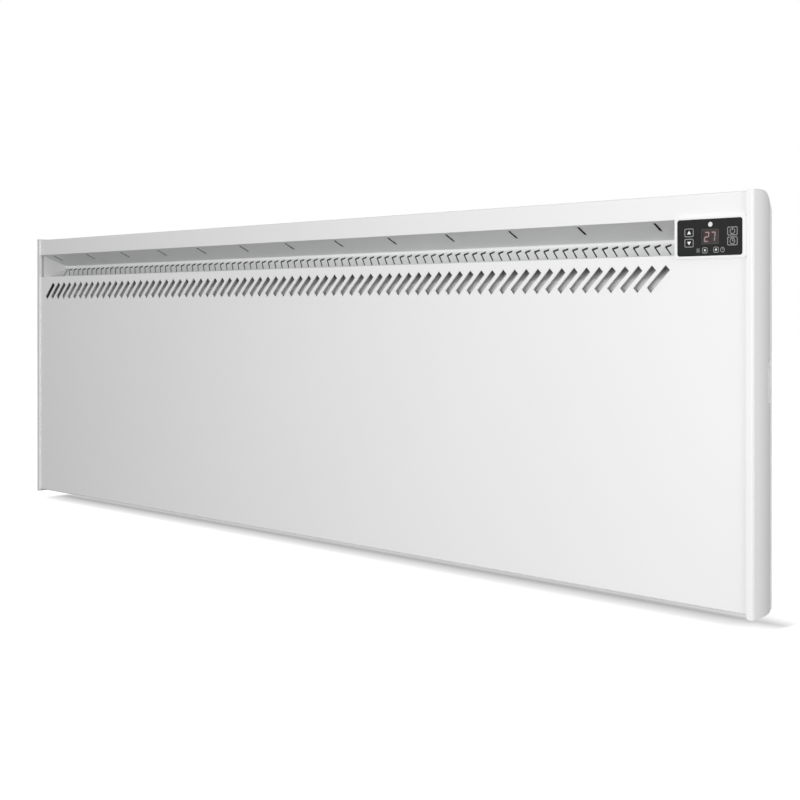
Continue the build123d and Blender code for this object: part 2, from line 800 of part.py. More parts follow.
def key_switches():
    """One small press switch on the board behind each key's stem."""
    top = key_collar_thickness + key_stem[1] + key_travel + key_switch_gap
    switches = Part()
    for spot in key_places.values():
        x, height = on_overlay(spot)
        half = tact_size / 2
        switches += block((x - half, x + half), (top, control_board_depth), (height - half, height + half))
    return switches


def control_board():
    x, height = module_box()
    edge = module_wall + key_gap
    back = control_board_depth + board_thickness
    board = block((x[0] + edge, x[1] - edge), (control_board_depth, back),
                  (height[0] + edge, height[1] - edge))
    half = (connector_size[0] / 2, connector_size[2] / 2)
    return board + block((ribbon_x - half[0], ribbon_x + half[0]), (back, back + connector_size[1]),
                         (overlay_middle[1] - half[1], overlay_middle[1] + half[1]))


def control_back_cover():
    x, height = module_box()
    depth = (module_box_depth - back_cover_thickness, module_box_depth)
    edge = module_wall + key_gap
    cover = block((x[0] + edge, x[1] - edge), depth, (height[0] + edge, height[1] - edge))
    half_x = ribbon_size[0] / 2 + ribbon_gap
    half_height = ribbon_size[1] / 2 + ribbon_gap
    return cover - block((ribbon_x - half_x, ribbon_x + half_x), (depth[0] - steel, depth[1] + steel),
                         (overlay_middle[1] - half_height, overlay_middle[1] + half_height))


# Heating element
tube_heights = (element_height - tube_spacing / 2, element_height + tube_spacing / 2)


def heating_element():
    """A finned extrusion: an upright web with two bosses and cross ribs that shorten towards its ends."""
    section = Pos(element_depth, element_height) * Rectangle(web_thickness, web_height)
    for i in range(rib_count):
        share = 2 * i / (rib_count - 1) - 1
        length = rib_long + (rib_short - rib_long) * abs(share)
        offset_height = share * (web_height - rib_thickness) / 2
        section += Pos(element_depth, element_height + offset_height) * Rectangle(length, rib_thickness)
    for height in tube_heights:
        section += Pos(element_depth, height) * Circle(tube_radius + boss_wall)
    for height in tube_heights:
        section -= Pos(element_depth, height) * Circle(tube_radius + tube_gap)
    return extrude(section_plane.offset(fin_left) * section, fin_right - fin_left)


def element_tubes():
    x = (fin_left - tube_overhang, fin_right + tube_overhang)
    return Part() + [rod_across(x, element_depth, height, tube_radius) for height in tube_heights]


def element_terminals():
    """Pins at the tubes' ends and the link that joins them on the left."""
    left = fin_left - tube_overhang
    right = fin_right + tube_overhang
    pins = [rod_across((right, right + pin_length), element_depth, height, pin_radius)
            for height in tube_heights]
    half = link_width / 2
    link_x = (left - link_reach - bracket_steel, left - link_reach)
    link = block(link_x, (element_depth - half, element_depth + half),
                 (tube_heights[0] - half, tube_heights[1] + half))
    for height in tube_heights:
        link += rod_across((left - link_reach, left), element_depth, height, pin_radius)
    return Part() + pins + [link]


def element_bushes():
    bushes = Part()
    for side, x in zip((-1, 1), element_bracket_x):
        inner = x - side * bush_length / 2
        sleeve = sorted((inner, x + side * bush_length))
        seat = sorted((inner, x - side * bracket_steel / 2))
        for height in tube_heights:
            body = rod_across(sleeve, element_depth, height, bush_radius)
            collar = rod_across(seat, element_depth, height, bush_collar)
            bushes += body + collar - rod_across(sleeve, element_depth, height, tube_radius)
    return bushes


def element_bracket(side):
    x = element_bracket_x[0] if side < 0 else element_bracket_x[1]
    height = (element_height - bracket_height / 2, element_height + bracket_height / 2)
    front = element_depth - bracket_width / 2
    arm = block((x - bracket_steel / 2, x + bracket_steel / 2), (front, rear_inner), height)
    for tube_height in tube_heights:
        arm -= rod_across((x - bush_length, x + bush_length), element_depth, tube_height,
                          bush_radius + bracket_gap)
    foot = block(sorted((x, x + side * bracket_foot)), (rear_inner - bracket_steel, rear_inner), height)
    through = (rear_inner - 2 * bracket_steel, rear_inner + steel)
    return arm + foot - screw_hole(x + side * bracket_foot / 2, element_height, through)


def heat_shield():
    left = -half_width + shield_left
    right = half_width - shield_right
    plan = Polyline((left - shield_foot, rear_inner), (left, rear_inner), (left, shield_depth),
                    (right, shield_depth), (right, rear_inner), (right + shield_foot, rear_inner))
    wall = make_face(offset(plan, amount=shield_steel, side=Side.RIGHT, kind=Kind.INTERSECTION))
    top = lip_low - shield_drop
    shield = extrude(plan_plane.offset(shield_low) * wall, top - shield_low)
    shield += block((right, right + shield_apron), (shield_depth - shield_steel, shield_depth),
                    (shield_low, top))
    shield -= block((left - 2 * shield_foot, left + shield_notch[0]), (0, case_depth),
                    (top - shield_notch[1], lip_low))
    depth = (element_depth - lead_window[0] / 2, element_depth + lead_window[0] / 2)
    height = (element_height - lead_window[1] / 2, element_height + lead_window[1] / 2)
    return shield - block((right - steel, right + 2 * steel), depth, height)


# Electrics behind the right end
def power_board():
    return block((board_x, board_x + board_width), (board_depth, board_back), (board_low, board_top))


def board_pillars():
    """Hexagonal spacers between the board and the rear panel."""
    pillars = []
    for x, height in pillar_places:
        face = Pos(x, height) * RegularPolygon(pillar_radius, 6)
        pillar = extrude(front_plane.offset(-rear_inner) * face, rear_inner - board_back)
        pillars.append(pillar - screw_hole(x, height, (case_depth - screw_length, rear_inner)))
    return Part() + pillars


def on_board(spot, size):
    """A block that stands on the board's front, its lower left corner at a spot."""
    x = board_x + spot[0]
    height = board_low + spot[1]
    return block((x, x + size[0]), (board_depth - size[1], board_depth), (height, height + size[2]))


def relay():
    return on_board(relay_place, relay_size)


def heat_sink():
    """A finned block for the power switching part."""
    width, deep, tall = heat_sink_size
    sink = on_board(heat_sink_place, (width, heat_sink_base, tall))
    for x in even(0, width - heat_sink_fin, heat_sink_fins):
        sink += on_board((heat_sink_place[0] + x, heat_sink_place[1]), (heat_sink_fin, deep, tall))
    return sink


def board_connectors():
    """The control cable's socket at the board's top and the wire strip along its lower edge."""
    socket_place = (ribbon_x - board_x - connector_size[0] / 2,
                    board_height - connector_margin - connector_size[2])
    strip_width = lead_places[-1] - lead_places[0] + strip_size[0]
    strip_place = (lead_first - strip_size[0] / 2, strip_margin)
    return Part() + [on_board(socket_place, connector_size),
                     on_board(strip_place, (strip_width, strip_size[1], strip_size[2]))]


lead_places = [board_x + lead_first + lead_pitch * i for i in range(6)]
lead_depth = board_depth - strip_size[1] / 2
lead_end = board_low + strip_margin


def element_leads():
    """From the two right-hand pins, through the shield's wall, up to the board."""
    pin_end = fin_right + tube_overhang + pin_length
    leads = []
    for lead_x, height in zip(lead_places[:2], reversed(tube_heights)):
        route = [(pin_end, element_depth, height), (lead_x, element_depth, height),
                 (lead_x, lead_depth, height + lead_rise), (lead_x, lead_depth, lead_end)]
        leads.append(tube(route, wire_radius, wire_bend))
    return Part() + leads


def supply_wires():
    """From the terminal block to the board, and from the board to the power switch."""
    top = terminal_block_height + terminal_block_size[2]
    wires = []
    for lead_x, block_x in zip(lead_places[2:4], terminal_wire_x[1:]):
        route = [(block_x, lead_depth, top), (block_x, lead_depth, top + supply_rise[0]),
                 (lead_x, lead_depth, top + supply_rise[1]), (lead_x, lead_depth, lead_end)]
        wires.append(tube(route, wire_radius, wire_bend))
    blade_x = switch_floor - switch_body_depth - terminal_length
    for lead_x, height, drop in zip(lead_places[4:6], blade_heights, switch_wire_drops):
        route = [(lead_x, lead_depth, lead_end), (lead_x, lead_depth, board_low - drop),
                 (blade_x - switch_wire_run, switch_depth, height), (blade_x, switch_depth, height)]
        wires.append(tube(route, wire_radius, switch_wire_bend))
    return Part() + wires


terminal_pitch = terminal_block_size[0] / terminal_ways
terminal_wire_x = [gland_x + terminal_pitch * (i - (terminal_ways - 1) / 2) for i in range(terminal_ways)]


def terminal_block():
    height = (terminal_block_height, terminal_block_height + terminal_block_size[2])
    front = rear_inner - terminal_block_size[1]
    half = terminal_block_size[0] / 2
    body = block((gland_x - half, gland_x + half), (front, rear_inner), height)
    for x in terminal_wire_x:
        body -= rod_back(x, sum(height) / 2, terminal_way_radius, (front, front + terminal_way_depth))
    return body


def control_ribbon():
    start = control_board_depth + board_thickness + connector_size[1]
    end_depth = board_depth - connector_size[1] / 2
    route = [(start, overlay_middle[1]), (end_depth, overlay_middle[1]),
             (end_depth, board_top - connector_margin)]
    places = [(ribbon_x, front_y + depth, low_z + height) for depth, height in route]
    path = FilletPolyline(*places, radius=ribbon_bend)
    start_plane = Plane(origin=path @ 0, x_dir=(1, 0, 0), z_dir=path % 0)
    return sweep(start_plane * Rectangle(*ribbon_size), path)


def thermal_cutout():
    """A disc cut-out on the rear panel, above the element's right end."""
    x = fin_right - cutout_inset
    height = element_height + web_height / 2 + cutout_rise
    half_x = cutout_flange[0] / 2
    half_height = cutout_flange[2] / 2
    face = rear_inner - cutout_flange[1]
    flange = block((x - half_x, x + half_x), (face, rear_inner), (height - half_height, height + half_height))
    return flange + rod_back(x, height, cutout_radius, (rear_inner - cutout_depth, face))


grille_top = 2 * steel
air_sensor_depth = case_depth / 2


def air_sensor_clip():
    half_x = sensor_clip_size[0] / 2
    half_depth = sensor_clip_size[1] / 2
    clip = block((air_sensor_x - half_x, air_sensor_x + half_x),
                 (air_sensor_depth - half_depth, air_sensor_depth + half_depth),
                 (grille_top, grille_top + sensor_clip_size[2]))
    middle = grille_top + sensor_clip_size[2] / 2
    return clip - place(air_sensor_x, air_sensor_depth, middle) * Cylinder(
        bulb_radius + bulb_gap, sensor_clip_size[2])


def air_sensor():
    """A bulb standing in its clip, with its wire up to the board."""
    bulb = place(air_sensor_x, air_sensor_depth, grille_top + bulb_length / 2) * Cylinder(
        bulb_radius, bulb_length)
    route = [(air_sensor_x, air_sensor_depth, grille_top + bulb_length),
             (air_sensor_x, air_sensor_depth, board_low - sensor_wire_turns[0]),
             (air_sensor_x, lead_depth, board_low - sensor_wire_turns[1]),
             (air_sensor_x, lead_depth, lead_end)]
    return bulb + tube(route, sensor_wire_radius, wire_bend)


def cable_gland():
    """The cord's inlet through the rear panel: a sleeve with an outer collar."""
    depth = (rear_inner - gland_inside, case_depth + gland_behind)
    sleeve = rod_back(gland_x, gland_height, gland_radius, depth)
    sleeve += rod_back(gland_x, gland_height, gland_collar, (case_depth, case_depth + gland_collar_length))
    return sleeve - rod_back(gland_x, gland_height, gland_bore, depth)


def gland_ring():
    depth = (rear_inner - gland_nut_length, rear_inner)
    nut_face = front_plane.offset(-depth[1])
    nut = extrude(nut_face * Pos(gland_x, gland_height) * RegularPolygon(gland_nut, 6), gland_nut_length)
    return nut - rod_back(gland_x, gland_height, gland_radius + gland_fit, depth)


# Wall brackets
def wall_bracket(x):
    """A channel with a waisted pair of flanges whose tops hook into the case."""
    half = wall_bracket_width / 2
    half_length = wall_bracket_length / 2
    web = Pos(x, -wall_steel / 2, 0) * Box(wall_bracket_width, wall_steel, wall_bracket_length)
    for height in (-bolt_rise / 2, bolt_rise / 2):
        web -= Pos(x, 0, height) * Rot(90, 0, 0) * Cylinder(bolt_hole_radius, 4 * wall_steel)
    front = -wall_gap + hook_stand_off
    nose_back = -wall_gap - steel - hook_gap
    nose_front = nose_back - hook_reach
    hook_low = hook_height - hook_tab
    waist = -wall_bracket_waist
    slope = waist - front
    low_shoulder = wall_bracket_shoulder - half_length
    high_shoulder = hook_low - hook_tab
    nose_top = hook_height + hook_nose
    outline = Polygon((0, -half_length), (front, -half_length), (front, low_shoulder),
                      (waist, low_shoulder + slope), (waist, high_shoulder - slope), (front, high_shoulder),
                      (front, hook_low), (nose_front, hook_low), (nose_front, nose_top),
                      (nose_back, nose_top), (nose_back, hook_height), (front, hook_height),
                      (front, half_length), (0, half_length), align=None)
    for edge in (x - half, x + half - wall_steel):
        side_plane = Plane(origin=(edge, 0, 0), x_dir=(0, 1, 0), z_dir=(1, 0, 0))
        web += extrude(side_plane * outline, wall_steel, dir=(1, 0, 0))
    return web


def wall_buffers():
    """Two tapered feet that keep the case's lower edge off the wall."""
    feet = []
    for x in (buffer_inset - rear_half, rear_half - buffer_inset - board_width):
        base = Plane(origin=(x, -wall_gap, low_z + buffer_height), x_dir=(1, 0, 0), z_dir=(0, 1, 0))
        feet.append(loft([base * Circle(buffer_radius), base.offset(wall_gap) * Circle(buffer_tip_radius)]))
    return Part() + feet


def case_screws():
    return Part() + [screw(x, height) for x, height in hood_screws + cap_screws]


def inner_screws():
    return Part() + [screw(x, height) for x, height in bracket_screws + pillar_places]


nodes = {
    "front_panel": front_panel,
    "outlet_trough": outlet_trough,
    "outlet_end_cheek": outlet_end_cheek,
    "top_hood": top_hood,
    "rear_panel": rear_panel,
    "base_grille": base_grille,
    "left_end_cap": left_end_cap,
    "right_end_cap": right_end_cap,
    "power_switch_housing": power_switch_housing,
    "power_rocker": power_rocker,
    "module_housing": module_housing,
    "control_overlay": control_overlay,
    "display_lens": display_lens,
    "display_module": display_module,
    "sensor_lens": sensor_lens,
    "indicator_lights": indicator_lights,
    "key_up": lambda: key("key_up"),
    "key_down": lambda: key("key_down"),
    "key_mode": lambda: key("key_mode"),
    "key_timer": lambda: key("key_timer"),
    "key_switches": key_switches,
    "control_board": control_board,
    "control_back_cover": control_back_cover,
    "heating_element": heating_element,
    "element_tubes": element_tubes,
    "element_terminals": element_terminals,
    "element_bushes": element_bushes,
    "element_bracket_left": lambda: element_bracket(-1),
    "element_bracket_right": lambda: element_bracket(1),
    "heat_shield": heat_shield,
    "power_board": power_board,
    "board_pillars": board_pillars,
    "relay": relay,
    "heat_sink": heat_sink,
    "board_connectors": board_connectors,
    "element_leads": element_leads,
    "supply_wires": supply_wires,
    "control_ribbon": control_ribbon,
    "terminal_block": terminal_block,
    "thermal_cutout": thermal_cutout,
    "air_sensor_clip": air_sensor_clip,
    "air_sensor": air_sensor,
    "cable_gland": cable_gland,
    "gland_ring": gland_ring,
    "wall_bracket_left": lambda: wall_bracket(-bracket_spread / 2),
    "wall_bracket_right": lambda: wall_bracket(bracket_spread / 2),
    "wall_buffers": wall_buffers,
    "case_screws": case_screws,
    "inner_screws": inner_screws,
}

for name, make in nodes.items():
    export_step(make(), f"parts/{name}.step")
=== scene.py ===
import json
import math

import bmesh
import bpy
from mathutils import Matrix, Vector


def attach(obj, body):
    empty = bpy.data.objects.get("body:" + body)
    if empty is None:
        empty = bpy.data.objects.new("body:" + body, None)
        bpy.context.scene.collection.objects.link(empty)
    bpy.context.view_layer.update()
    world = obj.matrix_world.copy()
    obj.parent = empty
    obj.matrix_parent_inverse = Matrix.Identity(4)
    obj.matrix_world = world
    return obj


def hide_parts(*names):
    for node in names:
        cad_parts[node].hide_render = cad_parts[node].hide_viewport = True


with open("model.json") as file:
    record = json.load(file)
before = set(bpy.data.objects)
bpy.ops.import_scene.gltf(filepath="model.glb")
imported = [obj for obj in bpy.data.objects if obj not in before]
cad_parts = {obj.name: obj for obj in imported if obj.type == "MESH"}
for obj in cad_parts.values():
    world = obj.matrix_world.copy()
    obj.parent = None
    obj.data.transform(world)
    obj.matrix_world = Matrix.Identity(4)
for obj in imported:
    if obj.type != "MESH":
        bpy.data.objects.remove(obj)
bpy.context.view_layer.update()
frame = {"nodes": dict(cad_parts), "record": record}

scene = bpy.context.scene
nodes = frame["nodes"]
record = frame["record"]
mm = 0.001


# Shader kit: a number or colour flowing between nodes

class Flow:
    def __init__(self, tree, socket):
        self.tree = tree
        self.socket = socket

    def maths(self, operation, first, second):
        made = self.tree.nodes.new("ShaderNodeMath")
        made.operation = operation
        for slot, value in zip(made.inputs, (first, second)):
            plug(self.tree, slot, value)
        return Flow(self.tree, made.outputs[0])

    def __add__(self, other):
        return self.maths("ADD", self, other)

    def __radd__(self, other):
        return self.maths("ADD", other, self)

    def __sub__(self, other):
        return self.maths("SUBTRACT", self, other)

    def __rsub__(self, other):
        return self.maths("SUBTRACT", other, self)

    def __mul__(self, other):
        return self.maths("MULTIPLY", self, other)

    def __rmul__(self, other):
        return self.maths("MULTIPLY", other, self)

    def __gt__(self, other):
        return self.maths("GREATER_THAN", self, other)

    def __lt__(self, other):
        return self.maths("LESS_THAN", self, other)

    def __abs__(self):
        return self.maths("ABSOLUTE", self, 0.0)

    def within(self, low, high):
        return (self > low) * (self < high)


def plug(tree, slot, value):
    if isinstance(value, Flow):
        tree.links.new(value.socket, slot)
    else:
        slot.default_value = value


class Mixer:
    # the nodes of one material or sky; everything but the maths comes from node()
    def __init__(self, owner):
        owner.use_nodes = True
        self.tree = owner.node_tree
        self.tree.nodes.clear()

    def node(self, kind, settings=None, inputs=None, output=0):
        made = self.tree.nodes.new(kind)
        for key, value in (settings or {}).items():
            setattr(made, key, value)
        for key, value in (inputs or {}).items():
            slot = made.inputs[key] if isinstance(key, int) else next(
                s for s in made.inputs if key in (s.identifier, s.name))
            plug(self.tree, slot, value)
        return Flow(self.tree, made.outputs[output]) if made.outputs else None


class Finish(Mixer):
    # one material, worked out from places on the piece
    def __init__(self, name):
        self.material = bpy.data.materials.new(name)
        super().__init__(self.material)
        self.place = self.node("ShaderNodeTexCoord", output="Object")

    def stretched(self, scale):
        return self.node("ShaderNodeMapping", {"vector_type": "POINT"},
                         {"Vector": self.place, "Scale": scale})

    def noise(self, scale, detail=2.0, vector=None, output=0):
        return self.node("ShaderNodeTexNoise", None,
                         {"Vector": vector or self.place, "Scale": scale, "Detail": detail}, output)

    def bands(self, scale, direction, vector=None):
        return self.node("ShaderNodeTexWave", {"bands_direction": direction},
                         {"Vector": vector or self.place, "Scale": scale}, output="Fac")

    def blend(self, amount, low, high):
        return self.node("ShaderNodeMix", {"data_type": "RGBA"},
                         {"Factor_Float": amount, "A_Color": low, "B_Color": high}, output="Result")

    def ramp(self, value, start, end, low, high, kind="LINEAR"):
        # low up to start, high from end on
        return self.node("ShaderNodeMapRange", {"interpolation_type": kind},
                         {"Value": value, "From Min": start, "From Max": end,
                          "To Min": low, "To Max": high})

    def along(self, axis):
        return self.node("ShaderNodeSeparateXYZ", None, {"Vector": self.place}, output=axis)

    def facing(self, axis):
        return self.node("ShaderNodeSeparateXYZ", None,
                         {"Vector": self.node("ShaderNodeNewGeometry", output="True Normal")},
                         output=axis)

    def bump(self, height, strength, distance):
        return self.node("ShaderNodeBump", None,
                         {"Height": height, "Strength": strength, "Distance": distance})

    def feel(self, look, grain, height=None):
        # the roughness runs from look's first value to its second with the grain
        smooth, matt = look["roughness"]
        return {"Roughness": smooth + (matt - smooth) * grain,
                "Normal": self.bump(height or grain, *look["relief"])}

    def done(self, sockets):
        shade = self.node("ShaderNodeBsdfPrincipled", None, sockets)
        self.node("ShaderNodeOutputMaterial", None, {"Surface": shade})
        return self.material


def grey(level):
    return (level, level, level, 1)


# Finishes of the heater's own pieces: places in metres, relief as strength and depth,
# and a turn is the share of a face's normal that points along an axis

enamel = {"light": (0.865, 0.867, 0.865, 1), "dark": (0.838, 0.841, 0.840, 1), "cloud": 5,
          "peel": 620, "speck": 2600, "speckShare": 0.3, "roughness": (0.33, 0.43),
          "relief": (0.22, 0.00006), "specular": 0.4,
          "caseShade": (0.035, 0.036, 0.037, 1), "turnedIn": 0.12,
          "trough": (0.745, 0.748, 0.750, 1), "troughShadeFrom": -0.0803,
          "hoodFrom": 0.1619, "hoodBack": -0.0381, "hoodMiddle": (-0.058, 0.1665)}


def whiteEnamel():
    # white outside; the faces turned into the case are painted near-black, a painted shade for the
    # inside of the case
    f = Finish("whiteEnamel")
    peel, speck = f.noise(enamel["peel"], 1.5), f.noise(enamel["speck"], 1.0)
    back, up = f.along("Y"), f.along("Z")
    middleY, middleZ = enamel["hoodMiddle"]
    inHood = f.facing("Y") * (back - middleY) + f.facing("Z") * (up - middleZ) < 0.0
    onHood = (up > enamel["hoodFrom"]) + (back > enamel["hoodBack"]) > 0.5
    inCase = f.facing("Y") > enamel["turnedIn"]
    hidden = onHood * inHood + (1.0 - onHood) * inCase
    paint = f.blend(f.noise(enamel["cloud"], 3.0), enamel["dark"], enamel["light"])
    # faces inside the outlet trough are painted darker, a painted shade deep in the trough
    troughShadeMask = (back > enamel["troughShadeFrom"]) * (1.0 - onHood)
    coat = f.blend(troughShadeMask, paint, enamel["trough"])
    return f.done({
        "Base Color": f.blend(hidden, coat, enamel["caseShade"]),
        "Specular IOR Level": enamel["specular"],
        **f.feel(enamel, speck, peel + enamel["speckShare"] * speck),
    })


shell = {"light": (0.875, 0.876, 0.872, 1), "dark": (0.850, 0.852, 0.848, 1), "cloud": 14,
         "grain": 3200, "roughness": (0.30, 0.42), "relief": (0.10, 0.00003), "specular": 0.42,
         "leftOf": -0.583, "leftCapShade": (0.790, 0.791, 0.789, 1),
         "rightOf": 0.585, "rounded": (0.680, 0.681, 0.679, 1),
         "roundedTurn": (0.05, 0.45), "sideTurn": (0.90, 1.0),
         "plugTurn": 0.9, "plugFront": -0.0805, "plugEdge": -0.0778, "mouth": (0.1285, 0.163),
         "inMouth": (0.700, 0.702, 0.704, 1), "inEdge": (0.300, 0.302, 0.304, 1),
         "inCase": (0.620, 0.622, 0.624, 1)}


def whitePlastic():
    f = Finish("whitePlastic")
    grain = f.noise(shell["grain"])
    back, up, turn = f.along("Y"), f.along("Z"), f.facing("X")
    atLeft, atRight = f.along("X") < shell["leftOf"], f.along("X") > shell["rightOf"]
    skin = f.blend(f.noise(shell["cloud"]), shell["dark"], shell["light"])
    # the left cap is painted a little darker, a painted shade that tones down its highlight
    skin = f.blend(atLeft, skin, shell["leftCapShade"])
    # the right cap's rounded corner is painted darker, a painted shade that tones down its
    # highlight; its flat side isn't
    rounded = f.ramp(turn, *shell["roundedTurn"], 0.0, 1.0, "SMOOTHSTEP")
    notSide = f.ramp(turn, *shell["sideTurn"], 1.0, 0.0)
    skin = f.blend(rounded * notSide * atRight, skin, shell["rounded"])
    # the left cap's plug carries painted shade: it closes the trough in shade, darkest by its front
    # edge, and is darker inside the case
    onPlug = (turn > shell["plugTurn"]) * atLeft * (back > shell["plugFront"])
    closing = f.blend(back > shell["plugEdge"], shell["inEdge"], shell["inMouth"])
    plugShade = f.blend(up.within(*shell["mouth"]), shell["inCase"], closing)
    return f.done({
        "Base Color": f.blend(onPlug, skin, plugShade),
        "Specular IOR Level": shell["specular"],
        **f.feel(shell, grain),
    })


zincSheet = {"light": (0.80, 0.81, 0.81, 1), "dark": (0.62, 0.63, 0.64, 1), "spangle": 130,
             "wobble": 240, "wobbleBy": 0.006, "frost": 900, "frostShare": 0.25,
             "roughness": 0.36, "spangleRough": 0.14, "frostRough": 0.08,
             "metallic": 0.55, "relief": (0.12, 0.00004),
             "rearInside": (-0.0376, -0.0362), "rearTurn": -0.5,
             "rearInsideShade": (0.040, 0.041, 0.042, 1), "dullMetallic": 0.05,
             "shieldFront": (-0.0745, -0.0730), "shieldFoot": 0.05,
             "shade": (0.30, 0.302, 0.304, 1), "shadeFrom": -0.550, "shadeLow": 0.096,
             "shadeLean": 1.4}


def endShade(f):
    # the heat shield and its lip are dark beyond a slanted line at their left end
    rise = f.along("Z") - zincSheet["shadeLow"]
    return f.along("X") - zincSheet["shadeLean"] * rise < zincSheet["shadeFrom"]


def galvanised():
    # spangled; the rear panel's inside is painted a near-black dull dark, a painted shade for the
    # inside of the case
    f = Finish("galvanised")
    wobble = f.node("ShaderNodeVectorMath", {"operation": "MULTIPLY_ADD"},
                    {"Vector": f.noise(zincSheet["wobble"], output="Color"),
                     "Vector_001": (zincSheet["wobbleBy"],) * 3, "Vector_002": f.place})
    cell = f.node("ShaderNodeTexVoronoi", None,
                  {"Vector": wobble, "Scale": zincSheet["spangle"]}, output="Color")
    spangle = f.node("ShaderNodeSeparateColor", None, {"Color": cell})
    frost = f.noise(zincSheet["frost"], 3.0)
    back, share = f.along("Y"), zincSheet["frostShare"]
    inside = back.within(*zincSheet["rearInside"]) * (f.facing("Y") < zincSheet["rearTurn"])
    onShield = back.within(*zincSheet["shieldFront"]) * (f.along("Z") > zincSheet["shieldFoot"])
    sheet = f.blend(spangle * (1 - share) + frost * share, zincSheet["dark"], zincSheet["light"])
    sheet = f.blend(onShield * endShade(f), sheet, zincSheet["shade"])
    loss = zincSheet["metallic"] - zincSheet["dullMetallic"]
    return f.done({
        "Base Color": f.blend(inside, sheet, zincSheet["rearInsideShade"]),
        "Metallic": zincSheet["metallic"] - loss * inside,
        "Roughness": (zincSheet["roughness"] + zincSheet["spangleRough"] * spangle
                      + zincSheet["frostRough"] * frost),
        "Normal": f.bump(spangle + frost, *zincSheet["relief"]),
    })


gloss = {"light": (0.0175, 0.0184, 0.0179, 1), "dark": (0.0105, 0.0112, 0.0108, 1), "cloud": 300,
         "smear": 90, "smearLong": (1, 1, 0.35), "roughness": (0.13, 0.23),
         "wave": 700, "relief": (0.05, 0.00002), "coat": 0.35, "coatRoughness": 0.08}


def blackGloss():
    f = Finish("blackGloss")
    smear = f.noise(gloss["smear"], 4.0, f.stretched(gloss["smearLong"]))
    return f.done({
        "Base Color": f.blend(f.noise(gloss["cloud"]), gloss["dark"], gloss["light"]),
        "Coat Weight": gloss["coat"],
        "Coat Roughness": gloss["coatRoughness"],
        **f.feel(gloss, smear, f.noise(gloss["wave"], 1.0)),
    })


window = {"middle": (0.55605, 0.14535), "clear": (0.0080, 0.0054), "clearness": 0.62,
          "leftEdge": 0.5473, "border": (0.020, 0.021, 0.0205, 1),
          "light": (0.070, 0.063, 0.062, 1), "dark": (0.060, 0.054, 0.053, 1), "haze": 260,
          "roughness": (0.10, 0.18), "relief": (0.04, 0.00002)}


def smokedLens():
    # the window is see-through only over the display behind it
    f = Finish("smokedLens")
    haze = f.noise(window["haze"], 3.0)
    clear = ((abs(f.along("X") - window["middle"][0]) < window["clear"][0])
             * (abs(f.along("Z") - window["middle"][1]) < window["clear"][1]))
    smoke = f.blend(haze, window["dark"], window["light"])
    return f.done({
        "Base Color": f.blend(f.along("X") > window["leftEdge"], window["border"], smoke),
        "Alpha": 1.0 - window["clearness"] * clear,
        **f.feel(window, haze),
    })


redGlow = {"middle": (0.5538, 0, 0.1455), "reach": 0.0085, "most": 0.85,
           "colour": (0.105, 0.034, 0.042, 1)}
displayFace = {"light": (0.187, 0.169, 0.168, 1), "dark": (0.155, 0.139, 0.138, 1),
               "grain": 1500, "roughness": (0.40, 0.50), "relief": (0.08, 0.00003)}


def glowing(name, look):
    # the face round the lit strokes takes a little of their red, a painted glow of their light
    f = Finish(name)
    grain = f.noise(look["grain"])
    upright = f.node("ShaderNodeVectorMath", {"operation": "MULTIPLY"}, {0: f.place, 1: (1, 0, 1)})
    away = f.node("ShaderNodeVectorMath", {"operation": "DISTANCE"},
                  {0: upright, 1: redGlow["middle"]}, output="Value")
    near = f.ramp(away, 0.0, redGlow["reach"], redGlow["most"], 0.0, "SMOOTHSTEP")
    face = f.blend(grain, look["dark"], look["light"])
    return f.done({"Base Color": f.blend(near, face, redGlow["colour"]), **f.feel(look, grain)})


plainLooks = {
    "milkyLens": {"grain": (420, 2.0), "dark": (0.70, 0.71, 0.70, 1),
                  "light": (0.78, 0.79, 0.78, 1),
                  "roughness": (0.24, 0.32), "relief": (0.05, 0.00002)},
    "blackPlastic": {"grain": (2400, 3.0), "dark": (0.020, 0.020, 0.021, 1),
                     "light": (0.040, 0.040, 0.041, 1),
                     "roughness": (0.39, 0.53), "relief": (0.18, 0.00004)},
    "aluminium": {"grain": (30, 4.0), "drawn": (0.4, 60, 60), "dark": (0.62, 0.63, 0.64, 1),
                  "light": (0.80, 0.81, 0.82, 1), "metallic": 0.95,
                  "roughness": (0.30, 0.52), "relief": (0.20, 0.00005)},
    "terminalBrass": {"grain": (160, 4.0), "dark": (0.62, 0.45, 0.22, 1),
                      "light": (0.82, 0.66, 0.36, 1), "metallic": 0.95,
                      "roughness": (0.24, 0.48), "relief": (0.10, 0.00003)},
    "zincScrew": {"grain": (700, 3.0), "dark": (0.56, 0.57, 0.58, 1),
                  "light": (0.74, 0.75, 0.76, 1), "metallic": 0.95,
                  "roughness": (0.24, 0.40), "relief": (0.08, 0.00003)},
}


def plain(name, look):
    # one grain drives tone, roughness and relief
    f = Finish(name)
    grain = f.noise(*look["grain"], f.stretched(look["drawn"]) if "drawn" in look else None)
    return f.done({
        "Base Color": f.blend(grain, look["dark"], look["light"]),
        "Metallic": look.get("metallic", 0.0),
        **f.feel(look, grain),
    })


softLooks = {
    "silicone": {"grain": 1400, "dark": (0.66, 0.64, 0.60, 1), "light": (0.78, 0.76, 0.72, 1),
                 "roughness": (0.52, 0.64)},
    "nylon": {"grain": 1400, "dark": (0.76, 0.74, 0.68, 1), "light": (0.86, 0.84, 0.79, 1),
              "roughness": (0.34, 0.46)},
    "bufferGrey": {"grain": 900, "dark": (0.34, 0.34, 0.345, 1), "light": (0.44, 0.44, 0.445, 1),
                   "roughness": (0.60, 0.72)},
}
moulding = {"cloud": 60, "cloudShare": 0.6, "relief": (0.16, 0.00004)}


def softMoulding(name):
    f = Finish(name)
    look = {**moulding, **softLooks[name]}
    fine, broad, share = f.noise(look["grain"], 2.5), f.noise(look["cloud"]), look["cloudShare"]
    return f.done({
        "Base Color": f.blend(broad * share + fine * (1 - share), look["dark"], look["light"]),
        **f.feel(look, fine),
    })


